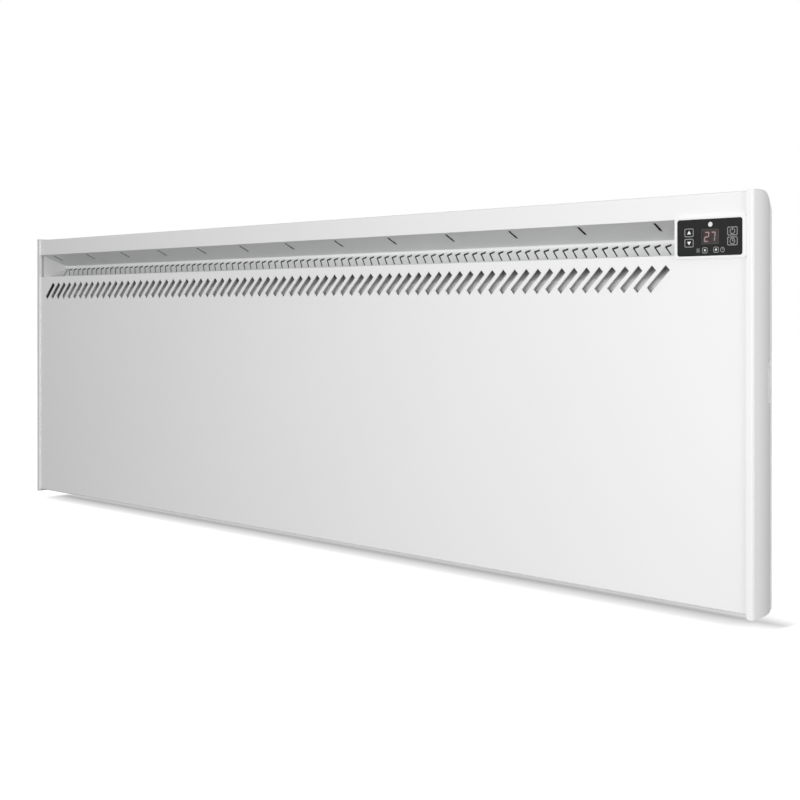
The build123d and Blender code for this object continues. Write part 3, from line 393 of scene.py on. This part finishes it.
board = {"mask": (0.020, 0.145, 0.060, 1), "copper": (0.045, 0.250, 0.110, 1),
         "track": 620, "trackFrom": 0.62, "cell": 190.0, "cellEdge": 0.10,
         "haze": 500, "roughness": (0.34, 0.44), "relief": (0.30, 0.00004)}


def circuitBoard():
    f = Finish("circuitBoard")
    cell = f.node("ShaderNodeTexVoronoi", {"feature": "DISTANCE_TO_EDGE"},
                  {"Vector": f.place, "Scale": board["cell"]}, output="Distance")
    tracks = (f.bands(board["track"], "X") > board["trackFrom"]) * (cell > board["cellEdge"])
    return f.done({
        "Base Color": f.blend(tracks, board["mask"], board["copper"]),
        **f.feel(board, f.noise(board["haze"]), tracks),
    })


sheath = {"light": (0.52, 0.50, 0.47, 1), "dark": (0.34, 0.31, 0.29, 1), "heat": 22,
          "scratch": 40, "drawn": (1, 40, 40), "metallic": 0.92,
          "roughness": (0.30, 0.52), "relief": (0.15, 0.00004)}


def sheathSteel():
    f = Finish("sheathSteel")
    scratch = f.noise(sheath["scratch"], 4.0, f.stretched(sheath["drawn"]))
    return f.done({
        "Base Color": f.blend(f.noise(sheath["heat"], 3.0), sheath["dark"], sheath["light"]),
        "Metallic": sheath["metallic"],
        **f.feel(sheath, scratch),
    })


braid = {"light": (0.80, 0.78, 0.72, 1), "dark": (0.52, 0.50, 0.45, 1), "thread": 520,
         "roughness": (0.60, 0.80), "relief": (0.60, 0.00012)}


def leadInsulation():
    # two sets of slanted threads, crossing
    f = Finish("leadInsulation")
    weave = (f.bands(braid["thread"], "DIAGONAL")
             * f.bands(braid["thread"], "DIAGONAL", f.stretched((-1, 1, 1))))
    return f.done({
        "Base Color": f.blend(weave, braid["dark"], braid["light"]),
        **f.feel(braid, weave),
    })


wires = {"brown": (0.20, 0.085, 0.035, 1), "blue": (0.030, 0.110, 0.360, 1), "blueFrom": 0.530,
         "grain": 800, "roughness": (0.34, 0.44), "relief": (0.10, 0.00004)}


def wireInsulation():
    f = Finish("wireInsulation")
    return f.done({
        "Base Color": f.blend(f.along("X") > wires["blueFrom"], wires["brown"], wires["blue"]),
        **f.feel(wires, f.noise(wires["grain"])),
    })


ribbon = {"light": (0.52, 0.52, 0.53, 1), "dark": (0.34, 0.34, 0.35, 1), "core": 125,
          "haze": 600, "roughness": (0.42, 0.50), "relief": (0.50, 0.0002)}


def ribbonGrey():
    f = Finish("ribbonGrey")
    cores = f.bands(ribbon["core"], "X")
    return f.done({
        "Base Color": f.blend(cores, ribbon["dark"], ribbon["light"]),
        **f.feel(ribbon, f.noise(ribbon["haze"]), cores),
    })


finishes = {
    "white_enamel": whiteEnamel(),
    "galvanised": galvanised(),
    "white_plastic": whitePlastic(),
    "black_gloss": blackGloss(),
    "smoked_lens": smokedLens(),
    "display_grey": glowing("displayGrey", displayFace),
    "milky_lens": plain("milkyLens", plainLooks["milkyLens"]),
    "black_plastic": plain("blackPlastic", plainLooks["blackPlastic"]),
    "circuit_board": circuitBoard(),
    "aluminium": plain("aluminium", plainLooks["aluminium"]),
    "sheath_steel": sheathSteel(),
    "terminal_brass": plain("terminalBrass", plainLooks["terminalBrass"]),
    "silicone": softMoulding("silicone"),
    "nylon": softMoulding("nylon"),
    "lead_insulation": leadInsulation(),
    "wire_insulation": wireInsulation(),
    "ribbon_grey": ribbonGrey(),
    "buffer_grey": softMoulding("bufferGrey"),
    "zinc": plain("zincScrew", plainLooks["zincScrew"]),
}


def dress(piece, finish):
    piece.data.materials.clear()
    piece.data.materials.append(finish)


for row in record["subparts"]:
    dress(nodes[row["node"]], finishes[row["material_slot"]])
print("finishes:", len(finishes), "on", len(record["subparts"]), "nodes")


# Modelling helpers

def only(piece):
    bpy.ops.object.select_all(action="DESELECT")
    piece.select_set(True)
    bpy.context.view_layer.objects.active = piece


def settle(piece):
    # the place goes into the mesh, the object stays at the origin
    only(piece)
    bpy.ops.object.transform_apply(location=True, rotation=True, scale=True)
    return piece


def named(name):
    piece = bpy.context.active_object
    piece.name = name
    piece.data.name = name
    return piece


def added(name, primitive, **settings):
    bpy.ops.object.select_all(action="DESELECT")
    primitive(**settings)
    return named(name)


def applied(piece, kind, **settings):
    only(piece)
    step = piece.modifiers.new(kind.title(), kind)
    for key, value in settings.items():
        setattr(step, key, value)
    bpy.ops.object.modifier_apply(modifier=step.name)


def copied(piece, move, turn):
    only(piece)
    bpy.ops.object.duplicate(linked=False)
    twin = bpy.context.active_object
    twin.location = move
    twin.rotation_euler.y = turn
    return settle(twin)


def joined(name, pieces):
    only(pieces[0])
    for piece in pieces[1:]:
        piece.select_set(True)
    bpy.ops.object.join()
    return named(name)


def editing(piece):
    only(piece)
    bpy.ops.object.mode_set(mode="EDIT")
    bpy.ops.mesh.select_mode(type="FACE")
    bpy.ops.mesh.select_all(action="SELECT")


def stopEditing():
    bpy.ops.object.mode_set(mode="OBJECT")


def withoutFaces(piece, test):
    # takes out the faces that pass the test, and leaves edit mode
    mesh = bmesh.from_edit_mesh(piece.data)
    for part in (*mesh.verts, *mesh.edges, *mesh.faces):
        part.select = False
    for face in mesh.faces:
        if test(face):
            face.select_set(True)
    bmesh.update_edit_mesh(piece.data)
    bpy.ops.mesh.delete(type="FACE")
    stopEditing()
    return piece


def drawnOut(piece, y, z, moves):
    # the edge nearest to y and z is extruded, move after move
    bpy.ops.mesh.select_mode(type="EDGE")
    bpy.ops.mesh.select_all(action="DESELECT")
    mesh = bmesh.from_edit_mesh(piece.data)
    edge = min(mesh.edges, key=lambda e: sum(abs(v.co.z - z) + abs(v.co.y - y) for v in e.verts))
    edge.select_set(True)
    bmesh.update_edit_mesh(piece.data)
    for move in moves:
        bpy.ops.mesh.extrude_region_move(TRANSFORM_OT_translate={"value": move})


# Sizes below are in mm: x from the middle, d back from the front sheet, h up from the foot

wallDepth = 82
boltHeight = 184


def raised(h):
    return (h - boltHeight) * mm


def placed(d, h):
    return ((d - wallDepth) * mm, raised(h))


# Outlet trough: folded sheet, its steep back strip lanced with hooked cuts

trough = {"left": -590.9, "right": 519.3, "steel": 1.0, "fold": 1.1,
          "section": ((1.0, 308.5), (1.0, 313.5), (32.0, 314.4), (42.0, 327.2), (42.0, 330.4),
                      (1.0, 345.8), (1.0, 357.8))}

# each row of cuts lies on the run between two points of the section
louvre = {"run": (2, 3), "first": -577.14, "pitch": 12.304, "count": 88}
cuts = {"bar": {**louvre, "long": 6.6, "wide": 3.0, "turn": 22, "at": (2.8, 13.2)},
        "leg": {**louvre, "long": 14.4, "wide": 1.25, "turn": -45, "at": (5.3, 7.2)},
        "slit": {"run": (5, 4), "first": 490.2, "pitch": -88.02, "count": 13,
                 "long": 19.2, "wide": 3.1, "turn": 102.3, "at": (0, 13.9)}}
cutDepth = 4

outletPaint = {"light": (0.700, 0.703, 0.705, 1), "dark": (0.670, 0.673, 0.675, 1),
               "roughness": (0.35, 0.45), "relief": (0.22, 0.00006),
               "backFlatLight": (0.90, 0.905, 0.90, 1), "flatTurn": -0.8,
               "flatAlong": (0.10, 0.50), "flatShare": (1.0, 0.60),
               "strip": (0.745, 0.748, 0.750, 1), "stripTurn": 0.3,
               "stripAlong": (-0.55, 0.05), "stripShare": (0.30, 0.90),
               "corner": (0.43, 0.432, 0.434, 1), "cornerLeftOf": -0.5792, "cornerBelow": 0.1425,
               "cut": (0.200, 0.202, 0.204, 1), "cutTurn": 0.15, "cutsMiddle": -0.0358,
               "cutsReach": 0.553}


def outletEnamel():
    # cut edges and the faces turned into the case are painted dark, a painted shade
    f = Finish("outletEnamel")
    peel = f.noise(enamel["peel"], 1.5)
    x, z = f.along("X"), f.along("Z")
    cutShade = ((abs(f.facing("X")) > outletPaint["cutTurn"])
             * (abs(x - outletPaint["cutsMiddle"]) < outletPaint["cutsReach"]))
    turnedInShade = f.facing("Y") > enamel["turnedIn"]
    # the sheet's paint is darker than the front's enamel, a painted shade deep in the trough
    paint = f.blend(f.noise(enamel["cloud"], 3.0), outletPaint["dark"], outletPaint["light"])
    # the back flat is painted lighter, fully up to near the middle and less towards the right end:
    # painted light
    onFlat = ((f.facing("Y") < outletPaint["flatTurn"])
              * f.ramp(x, *outletPaint["flatAlong"], *outletPaint["flatShare"]))
    paint = f.blend(onFlat, paint, outletPaint["backFlatLight"])
    # the up-facing faces are painted lighter, more towards the right: painted light
    stripLight = ((f.facing("Z") > outletPaint["stripTurn"])
               * f.ramp(x, *outletPaint["stripAlong"], *outletPaint["stripShare"]))
    paint = f.blend(stripLight, paint, outletPaint["strip"])
    # the lower left corner next to the plug is painted darker: painted shade
    cornerShade = (x < outletPaint["cornerLeftOf"]) * (z < outletPaint["cornerBelow"])
    paint = f.blend(cornerShade, paint, outletPaint["corner"])
    return f.done({
        "Base Color": f.blend(cutShade + turnedInShade > 0.5, paint, outletPaint["cut"]),
        "Specular IOR Level": enamel["specular"],
        **f.feel(outletPaint, peel),
    })


def foldedSheet(name, sheet):
    # the first run is a plane, every further run is drawn out of its end
    points, left, right = sheet["section"], sheet["left"], sheet["right"]
    (y0, z0), (y1, z1) = placed(*points[0]), placed(*points[1])
    piece = added(name, bpy.ops.mesh.primitive_plane_add, size=1,
                  rotation=(math.atan2(z1 - z0, y1 - y0), 0, 0),
                  location=((left + right) / 2 * mm, (y0 + y1) / 2, (z0 + z1) / 2))
    piece.scale = ((right - left) * mm, math.hypot(y1 - y0, z1 - z0), 1)
    settle(piece)
    editing(piece)
    drawnOut(piece, y1, z1, [(0, (after[0] - before[0]) * mm, (after[1] - before[1]) * mm)
                             for before, after in zip(points[1:], points[2:])])
    mesh = bmesh.from_edit_mesh(piece.data)
    for edge in mesh.edges:
        edge.select_set(len(edge.link_faces) == 2)
    bmesh.update_edit_mesh(piece.data)
    bpy.ops.mesh.bevel(offset=sheet["fold"] * mm, segments=3, affect="EDGES")
    bpy.ops.mesh.select_all(action="SELECT")
    bpy.ops.mesh.remove_doubles(threshold=0.001 * mm)
    stopEditing()
    applied(piece, "SOLIDIFY", thickness=sheet["steel"] * mm, offset=-1.0)
    return piece


def cutterRow(cut, section):
    # a row of slim blocks lying in one run of the sheet
    start, end = (section[i] for i in cut["run"])
    block = added("cutter", bpy.ops.mesh.primitive_cube_add, size=1)
    block.scale = (cut["long"] * mm, cut["wide"] * mm, cutDepth * mm)
    settle(block)
    editing(block)
    bpy.ops.transform.rotate(value=-math.radians(cut["turn"]), orient_axis="Z",
                             center_override=(0, 0, 0))
    bpy.ops.transform.translate(value=(cut["at"][0] * mm, cut["at"][1] * mm, 0))
    stopEditing()
    block.rotation_euler.x = math.atan2(end[1] - start[1], end[0] - start[0])
    block.location = (cut["first"] * mm, *placed(*start))
    settle(block)
    applied(block, "ARRAY", count=cut["count"], use_relative_offset=False,
            use_constant_offset=True, constant_offset_displace=(cut["pitch"] * mm, 0, 0))
    return block


outlet = foldedSheet("outletSheet", trough)
for cut in cuts.values():
    row = cutterRow(cut, trough["section"])
    applied(outlet, "BOOLEAN", operation="DIFFERENCE", solver="EXACT", object=row)
    bpy.data.objects.remove(row)
dress(outlet, outletEnamel())
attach(outlet, "heater")
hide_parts("outlet_trough")
print("outlet sheet:", len(outlet.data.polygons), "faces")


# Draught lip: bent strip on the heat shield's top edge, seen through the slots

draughtLip = {"left": -556.0, "right": 505.0, "steel": 0.6, "fold": 1.0,
              "section": ((7.9, 276.0), (7.9, 293.0), (15.5, 307.0))}
lipZinc = {"frost": 240, "foot": (0.68, 0.76), "top": (0.34, 0.40), "darkens": (0.108, 0.122),
           "metallic": 0.2, "roughness": (0.46, 0.56), "relief": (0.10, 0.00004)}


def shadedLipZinc():
    # the lip is painted darker towards its top, a painted shade
    f = Finish("shadedLipZinc")
    frost = f.noise(lipZinc["frost"], 3.0)
    rise = f.ramp(f.along("Z"), *lipZinc["darkens"], 0.0, 1.0, "SMOOTHSTEP")
    foot, top = (f.blend(frost, *map(grey, lipZinc[part])) for part in ("foot", "top"))
    return f.done({
        "Base Color": f.blend(endShade(f), f.blend(rise, foot, top), zincSheet["shade"]),
        "Metallic": lipZinc["metallic"],
        **f.feel(lipZinc, frost),
    })


lip = foldedSheet("draughtLip", draughtLip)
dress(lip, shadedLipZinc())
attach(lip, "heater")
print("draught lip")


# Prints on the control panel: thin ink on its face

ink = {"face": -0.0841, "thickness": 0.00004, "line": 0.75, "fineLine": 0.6, "corner": 1.3,
       "ringSides": 40, "barCorner": 0.3, "bright": 0.90, "soft": 0.29, "dim": 0.94,
       "grain": (3000, 2.0), "roughness": (0.36, 0.48), "relief": (0.10, 0.00002)}
facingFront = (math.pi / 2, 0, 0)


def whiteInk(name, level):
    return plain(name, {**ink, "dark": grey(level * ink["dim"]), "light": grey(level)})


brightInk = whiteInk("brightInk", ink["bright"])
softInk = whiteInk("softInk", ink["soft"])


def inked(piece, finish, body="heater"):
    # a flat shape gets the ink's thickness, standing on the panel's face
    applied(piece, "SOLIDIFY", thickness=ink["thickness"], offset=1.0)
    settle(piece)
    dress(piece, finish)
    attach(piece, body)


def onPanel(x, h):
    return (x * mm, ink["face"], raised(h))


def frontPlane(name, at, width, height):
    # an upright rectangle, left in edit mode
    piece = added(name, bpy.ops.mesh.primitive_plane_add, size=1, location=at,
                  rotation=facingFront)
    piece.scale = (width * mm, height * mm, 1)
    settle(piece)
    editing(piece)
    return piece


def frontDisc(name, at, radius, sides, squat=1.0):
    # an upright disc, left in edit mode
    piece = added(name, bpy.ops.mesh.primitive_circle_add, vertices=sides, radius=radius * mm,
                  fill_type="NGON", location=at, rotation=facingFront)
    piece.scale = (1, squat, 1)
    settle(piece)
    editing(piece)
    return piece


def outlined(piece, line):
    # only a line along the rim stays
    bpy.ops.mesh.select_all(action="SELECT")
    bpy.ops.mesh.inset(thickness=line * mm)
    return withoutFaces(piece, lambda face: len(face.verts) > 4)


def roundedFrame(name, x, h, width, height, line):
    piece = frontPlane(name, onPanel(x, h), width, height)
    bpy.ops.mesh.bevel(offset=ink["corner"] * mm, segments=6, affect="VERTICES")
    return outlined(piece, line)


def ring(name, x, h, radius, line):
    return outlined(frontDisc(name, onPanel(x, h), radius, ink["ringSides"]), line)


def bar(name, x, h, width, height):
    piece = frontPlane(name, onPanel(x, h), width, height)
    corner = ink["barCorner"] * min(width, height)
    bpy.ops.mesh.bevel(offset=corner * mm, segments=3, affect="VERTICES")
    stopEditing()
    return piece


arrow = {"radius": 2.3, "squat": 0.88, "corner": 0.12, "off": 0.25}


def arrowHead(name, x, h, up):
    at = onPanel(x, h - arrow["off"] if up else h + arrow["off"])
    head = frontDisc(name, at, arrow["radius"], 3, arrow["squat"])
    if not up:
        bpy.ops.transform.rotate(value=math.pi, orient_axis="Y", center_override=at)
    bpy.ops.mesh.bevel(offset=arrow["corner"] * mm, segments=3, affect="VERTICES")
    stopEditing()
    return head


keyPrints = {  # x, h, width and height of each key's outline
    "up": (534.55, 333.45, 9.5, 7.65), "down": (534.55, 324.25, 9.5, 7.65),
    "mode": (578.85, 333.4, 10.2, 7.65), "timer": (578.85, 324.7, 10.2, 7.65)}
for name, place in keyPrints.items():
    inked(roundedFrame(name + "KeyOutline", *place, ink["line"]), softInk, "key_" + name)
    if name in ("up", "down"):
        inked(arrowHead(name + "KeyArrow", *place[:2], name == "up"), brightInk, "key_" + name)

modeSign = {"radius": 2.7, "line": 0.7, "openAbove": 1.6, "openBeside": 1.1,
            "stemRise": 1.9, "stem": (0.8, 2.6)}


def modeSymbol(name, x, h):
    # a ring that is open at the top, where a stem stands in it
    loop = ring(name + "Ring", x, h, modeSign["radius"], modeSign["line"])
    editing(loop)
    withoutFaces(loop, lambda face: (
        face.calc_center_median().z > raised(h + modeSign["openAbove"])
        and abs(face.calc_center_median().x - x * mm) < modeSign["openBeside"] * mm))
    return joined(name, [loop, bar(name + "Stem", x, h + modeSign["stemRise"], *modeSign["stem"])])


# each hand is given by how far its middle is off the dial's, and its length
dials = {"timerKeySymbol": {"at": keyPrints["timer"][:2], "radius": 2.8, "line": 0.7,
                            "handWidth": 0.7, "upHand": (0.8, 1.9), "sideHand": (0.6, 1.6)},
         "clockSymbol": {"at": (568.9, 317.4), "radius": 2.3, "line": 0.6,
                         "handWidth": 0.55, "upHand": (0.6, 1.5), "sideHand": (0.5, 1.2)}}


def dial(name):
    look = dials[name]
    (x, h), wide = look["at"], look["handWidth"]
    (rise, tall), (reach, long) = look["upHand"], look["sideHand"]
    return joined(name, [
        ring(name + "Ring", x, h, look["radius"], look["line"]),
        bar(name + "UpHand", x, h + rise, wide, tall),
        bar(name + "SideHand", x + reach, h, long, wide),
    ])


warmth = {"at": (542.7, 315.6), "apart": 1.15, "count": 3, "width": 0.55, "foot": 0.3,
          "sway": 0.17, "rise": 0.58, "sides": (1, 1, -1, -1, 1, 1)}


def warmthLine(x, h):
    # a wavy rising line
    line = frontPlane("warmthLine", onPanel(x, h), warmth["width"], warmth["foot"])
    drawnOut(line, ink["face"], raised(h + warmth["foot"] / 2),
             [(side * warmth["sway"] * mm, 0, warmth["rise"] * mm) for side in warmth["sides"]])
    stopEditing()
    return line


inked(modeSymbol("modeKeySymbol", *keyPrints["mode"][:2]), softInk, "key_mode")
inked(dial("timerKeySymbol"), softInk, "key_timer")
lightFrames = {"heat": (551.0, 317.4, 5.4, 5.2), "clock": (562.3, 317.6, 5.4, 5.2)}
for name, place in lightFrames.items():
    inked(roundedFrame(name + "LightOutline", *place, ink["fineLine"]), softInk)
warmX, warmH = warmth["at"]
inked(joined("heatSymbol", [warmthLine(warmX + i * warmth["apart"], warmH)
                            for i in range(warmth["count"])]), softInk)
inked(dial("clockSymbol"), softInk)
print("prints on the panel")


# Lit digits: seven-segment strokes on the display's face

digits = {"face": -0.08266, "height": 8.9, "width": 5.2, "stroke": 0.95, "thickness": 0.00003,
          "slant": math.radians(7), "foot": 324.8, "left": (549.3, 555.75), "gap": 0.22,
          "tuck": 0.5, "tip": 0.49,
          "lit": (("top", "upperRight", "middle", "lowerLeft", "bottom"),
                  ("top", "upperRight", "lowerRight"))}

# each stroke's place off the digit's middle, as shares of its width and height,
# and whether it stands up
strokes = {"top": (0, 0.5, False), "upperRight": (0.5, 0.25, True),
           "lowerRight": (0.5, -0.25, True), "bottom": (0, -0.5, False),
           "lowerLeft": (-0.5, -0.25, True), "upperLeft": (-0.5, 0.25, True),
           "middle": (0, 0, False)}

litRed = {"body": (0.55, 0.30, 0.33, 1), "roughness": 0.5, "cloud": 900,
          "dim": (0.95, 0.58, 0.65, 1), "bright": (0.95, 0.68, 0.73, 1), "strength": 0.88}
darkFace = {"light": (0.148, 0.132, 0.131, 1), "dark": (0.122, 0.108, 0.107, 1),
            "grain": 1500, "roughness": (0.40, 0.50), "relief": (0.05, 0.00002)}


def litStroke():
    f = Finish("litStroke")
    return f.done({
        "Base Color": litRed["body"],
        "Roughness": litRed["roughness"],
        "Emission Color": f.blend(f.noise(litRed["cloud"], 1.0), litRed["dim"], litRed["bright"]),
        "Emission Strength": litRed["strength"],
    })


def stroke(length, standing):
    wide, high = (digits["stroke"], length) if standing else (length, digits["stroke"])
    piece = frontPlane("stroke", (0, 0, 0), wide, high)
    bpy.ops.mesh.bevel(offset=digits["tip"] * digits["stroke"] * mm, segments=2,
                       affect="VERTICES")
    stopEditing()
    return piece


def digit(left, litNames):
    # the strokes keep a gap between them; lit and dark ones are gathered apart
    inner = digits["width"] - digits["stroke"]
    tall = digits["height"] - digits["stroke"]
    patterns = {False: stroke(inner - digits["gap"], False),
                True: stroke(tall / 2 - digits["gap"], True)}
    found = {True: [], False: []}
    for name, (across, up, standing) in strokes.items():
        x = (left + digits["width"] / 2 + across * (inner - digits["tuck"])
             + up * tall * math.tan(digits["slant"]))
        h = digits["foot"] + digits["height"] / 2 + up * tall
        twin = copied(patterns[standing], (x * mm, digits["face"], raised(h)),
                      digits["slant"] if standing else 0.0)
        found[name in litNames].append(twin)
    for pattern in patterns.values():
        bpy.data.objects.remove(pattern)
    return found


allStrokes = [digit(left, names) for left, names in zip(digits["left"], digits["lit"])]
for isLit, name, finish in ((True, "litDigits", litStroke()),
                            (False, "darkDigits", glowing("darkStroke", darkFace))):
    piece = joined(name, [s for found in allStrokes for s in found[isLit]])
    applied(piece, "SOLIDIFY", thickness=digits["thickness"], offset=1.0)
    settle(piece)
    dress(piece, finish)
    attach(piece, "heater")
print("digits in the window")


# Camera, light and floor

camera = {"at": (1.22564, -1.12876, 0.08035), "turn": 0.79209, "lens": 61.737, "sensor": 36,
          "rise": -0.1122, "farthest": 60}
bpy.ops.object.camera_add(location=camera["at"], rotation=(math.pi / 2, 0, camera["turn"]))
eye = bpy.context.active_object
eye.data.lens = camera["lens"]
eye.data.sensor_width = camera["sensor"]
eye.data.shift_y = camera["rise"]
eye.data.clip_end = camera["farthest"]
scene.camera = eye

lamps = {
    "keyLight": {"at": (0.95, -1.85, 0.20), "aim": (0.45, 0, 0.05), "size": (1.4, 0.8),
                 "power": 24.5},
    "sideLight": {"at": (2.3, -0.48, 0.5), "aim": (0.6, 0, 0), "size": (1.0, 1.4), "power": 19},
    "topLight": {"at": (0.2, -0.9, 2.0), "aim": (0.1, 0, 0), "size": (2.0, 1.0), "power": 6},
}


def softLight(name, at, aim, size, power):
    bpy.ops.object.light_add(type="AREA", location=at)
    lamp = bpy.context.active_object
    lamp.name = name
    lamp.data.shape = "RECTANGLE"
    lamp.data.size, lamp.data.size_y = size
    lamp.data.energy = power
    lamp.rotation_euler = (Vector(aim) - Vector(at)).to_track_quat("-Z", "Y").to_euler()


for name, light in lamps.items():
    softLight(name, **light)

# the camera sees a brighter sky than the one that lights the heater
skyLight = {"seen": 1.0, "around": 0.28}
sky = bpy.data.worlds.new("sky")
scene.world = sky
air = Mixer(sky)
seen, around = (air.node("ShaderNodeBackground", None, {"Color": grey(1.0), "Strength": strength})
                for strength in (skyLight["seen"], skyLight["around"]))
mixed = air.node("ShaderNodeMixShader", None, {
    0: air.node("ShaderNodeLightPath", output="Is Camera Ray"), 1: around, 2: seen})
air.node("ShaderNodeOutputWorld", None, {"Surface": mixed})

floor = {"height": -0.199, "size": 14.0, "light": 0.82, "dark": 0.80, "cloud": 3.0,
         "roughness": 0.9, "glow": 0.9, "shade": 0.22, "caseEnd": 0.60, "caseMiddle": -0.035,
         "reach": 0.075, "endFade": 2.6}


def floorPaper():
    # a pale floor with a painted soft shadow under the case, shorter beyond its ends
    f = Finish("floorPaper")
    past = f.node("ShaderNodeMath", {"operation": "MAXIMUM"},
                  {0: abs(f.along("X")) - floor["caseEnd"], 1: 0.0})
    apart = f.node("ShaderNodeCombineXYZ", None, {"X": past * floor["endFade"],
                                                  "Y": f.along("Y") - floor["caseMiddle"]})
    away = f.node("ShaderNodeVectorMath", {"operation": "LENGTH"}, {"Vector": apart},
                  output="Value")
    near = f.ramp(away, 0.0, floor["reach"], 1.0, 0.0)
    return f.done({
        "Base Color": f.blend(f.noise(floor["cloud"]), grey(floor["dark"]), grey(floor["light"])),
        "Roughness": floor["roughness"],
        "Specular IOR Level": 0.0,
        "Emission Color": f.blend(near * near, grey(1.0), grey(floor["shade"])),
        "Emission Strength": floor["glow"],
    })


ground = settle(added("floor", bpy.ops.mesh.primitive_plane_add, size=floor["size"],
                      location=(0, 0, floor["height"])))
dress(ground, floorPaper())
ground.visible_diffuse = False
ground.visible_glossy = False

scene.view_settings.view_transform = "Standard"
scene.view_settings.look = "None"
print("camera, light and floor")
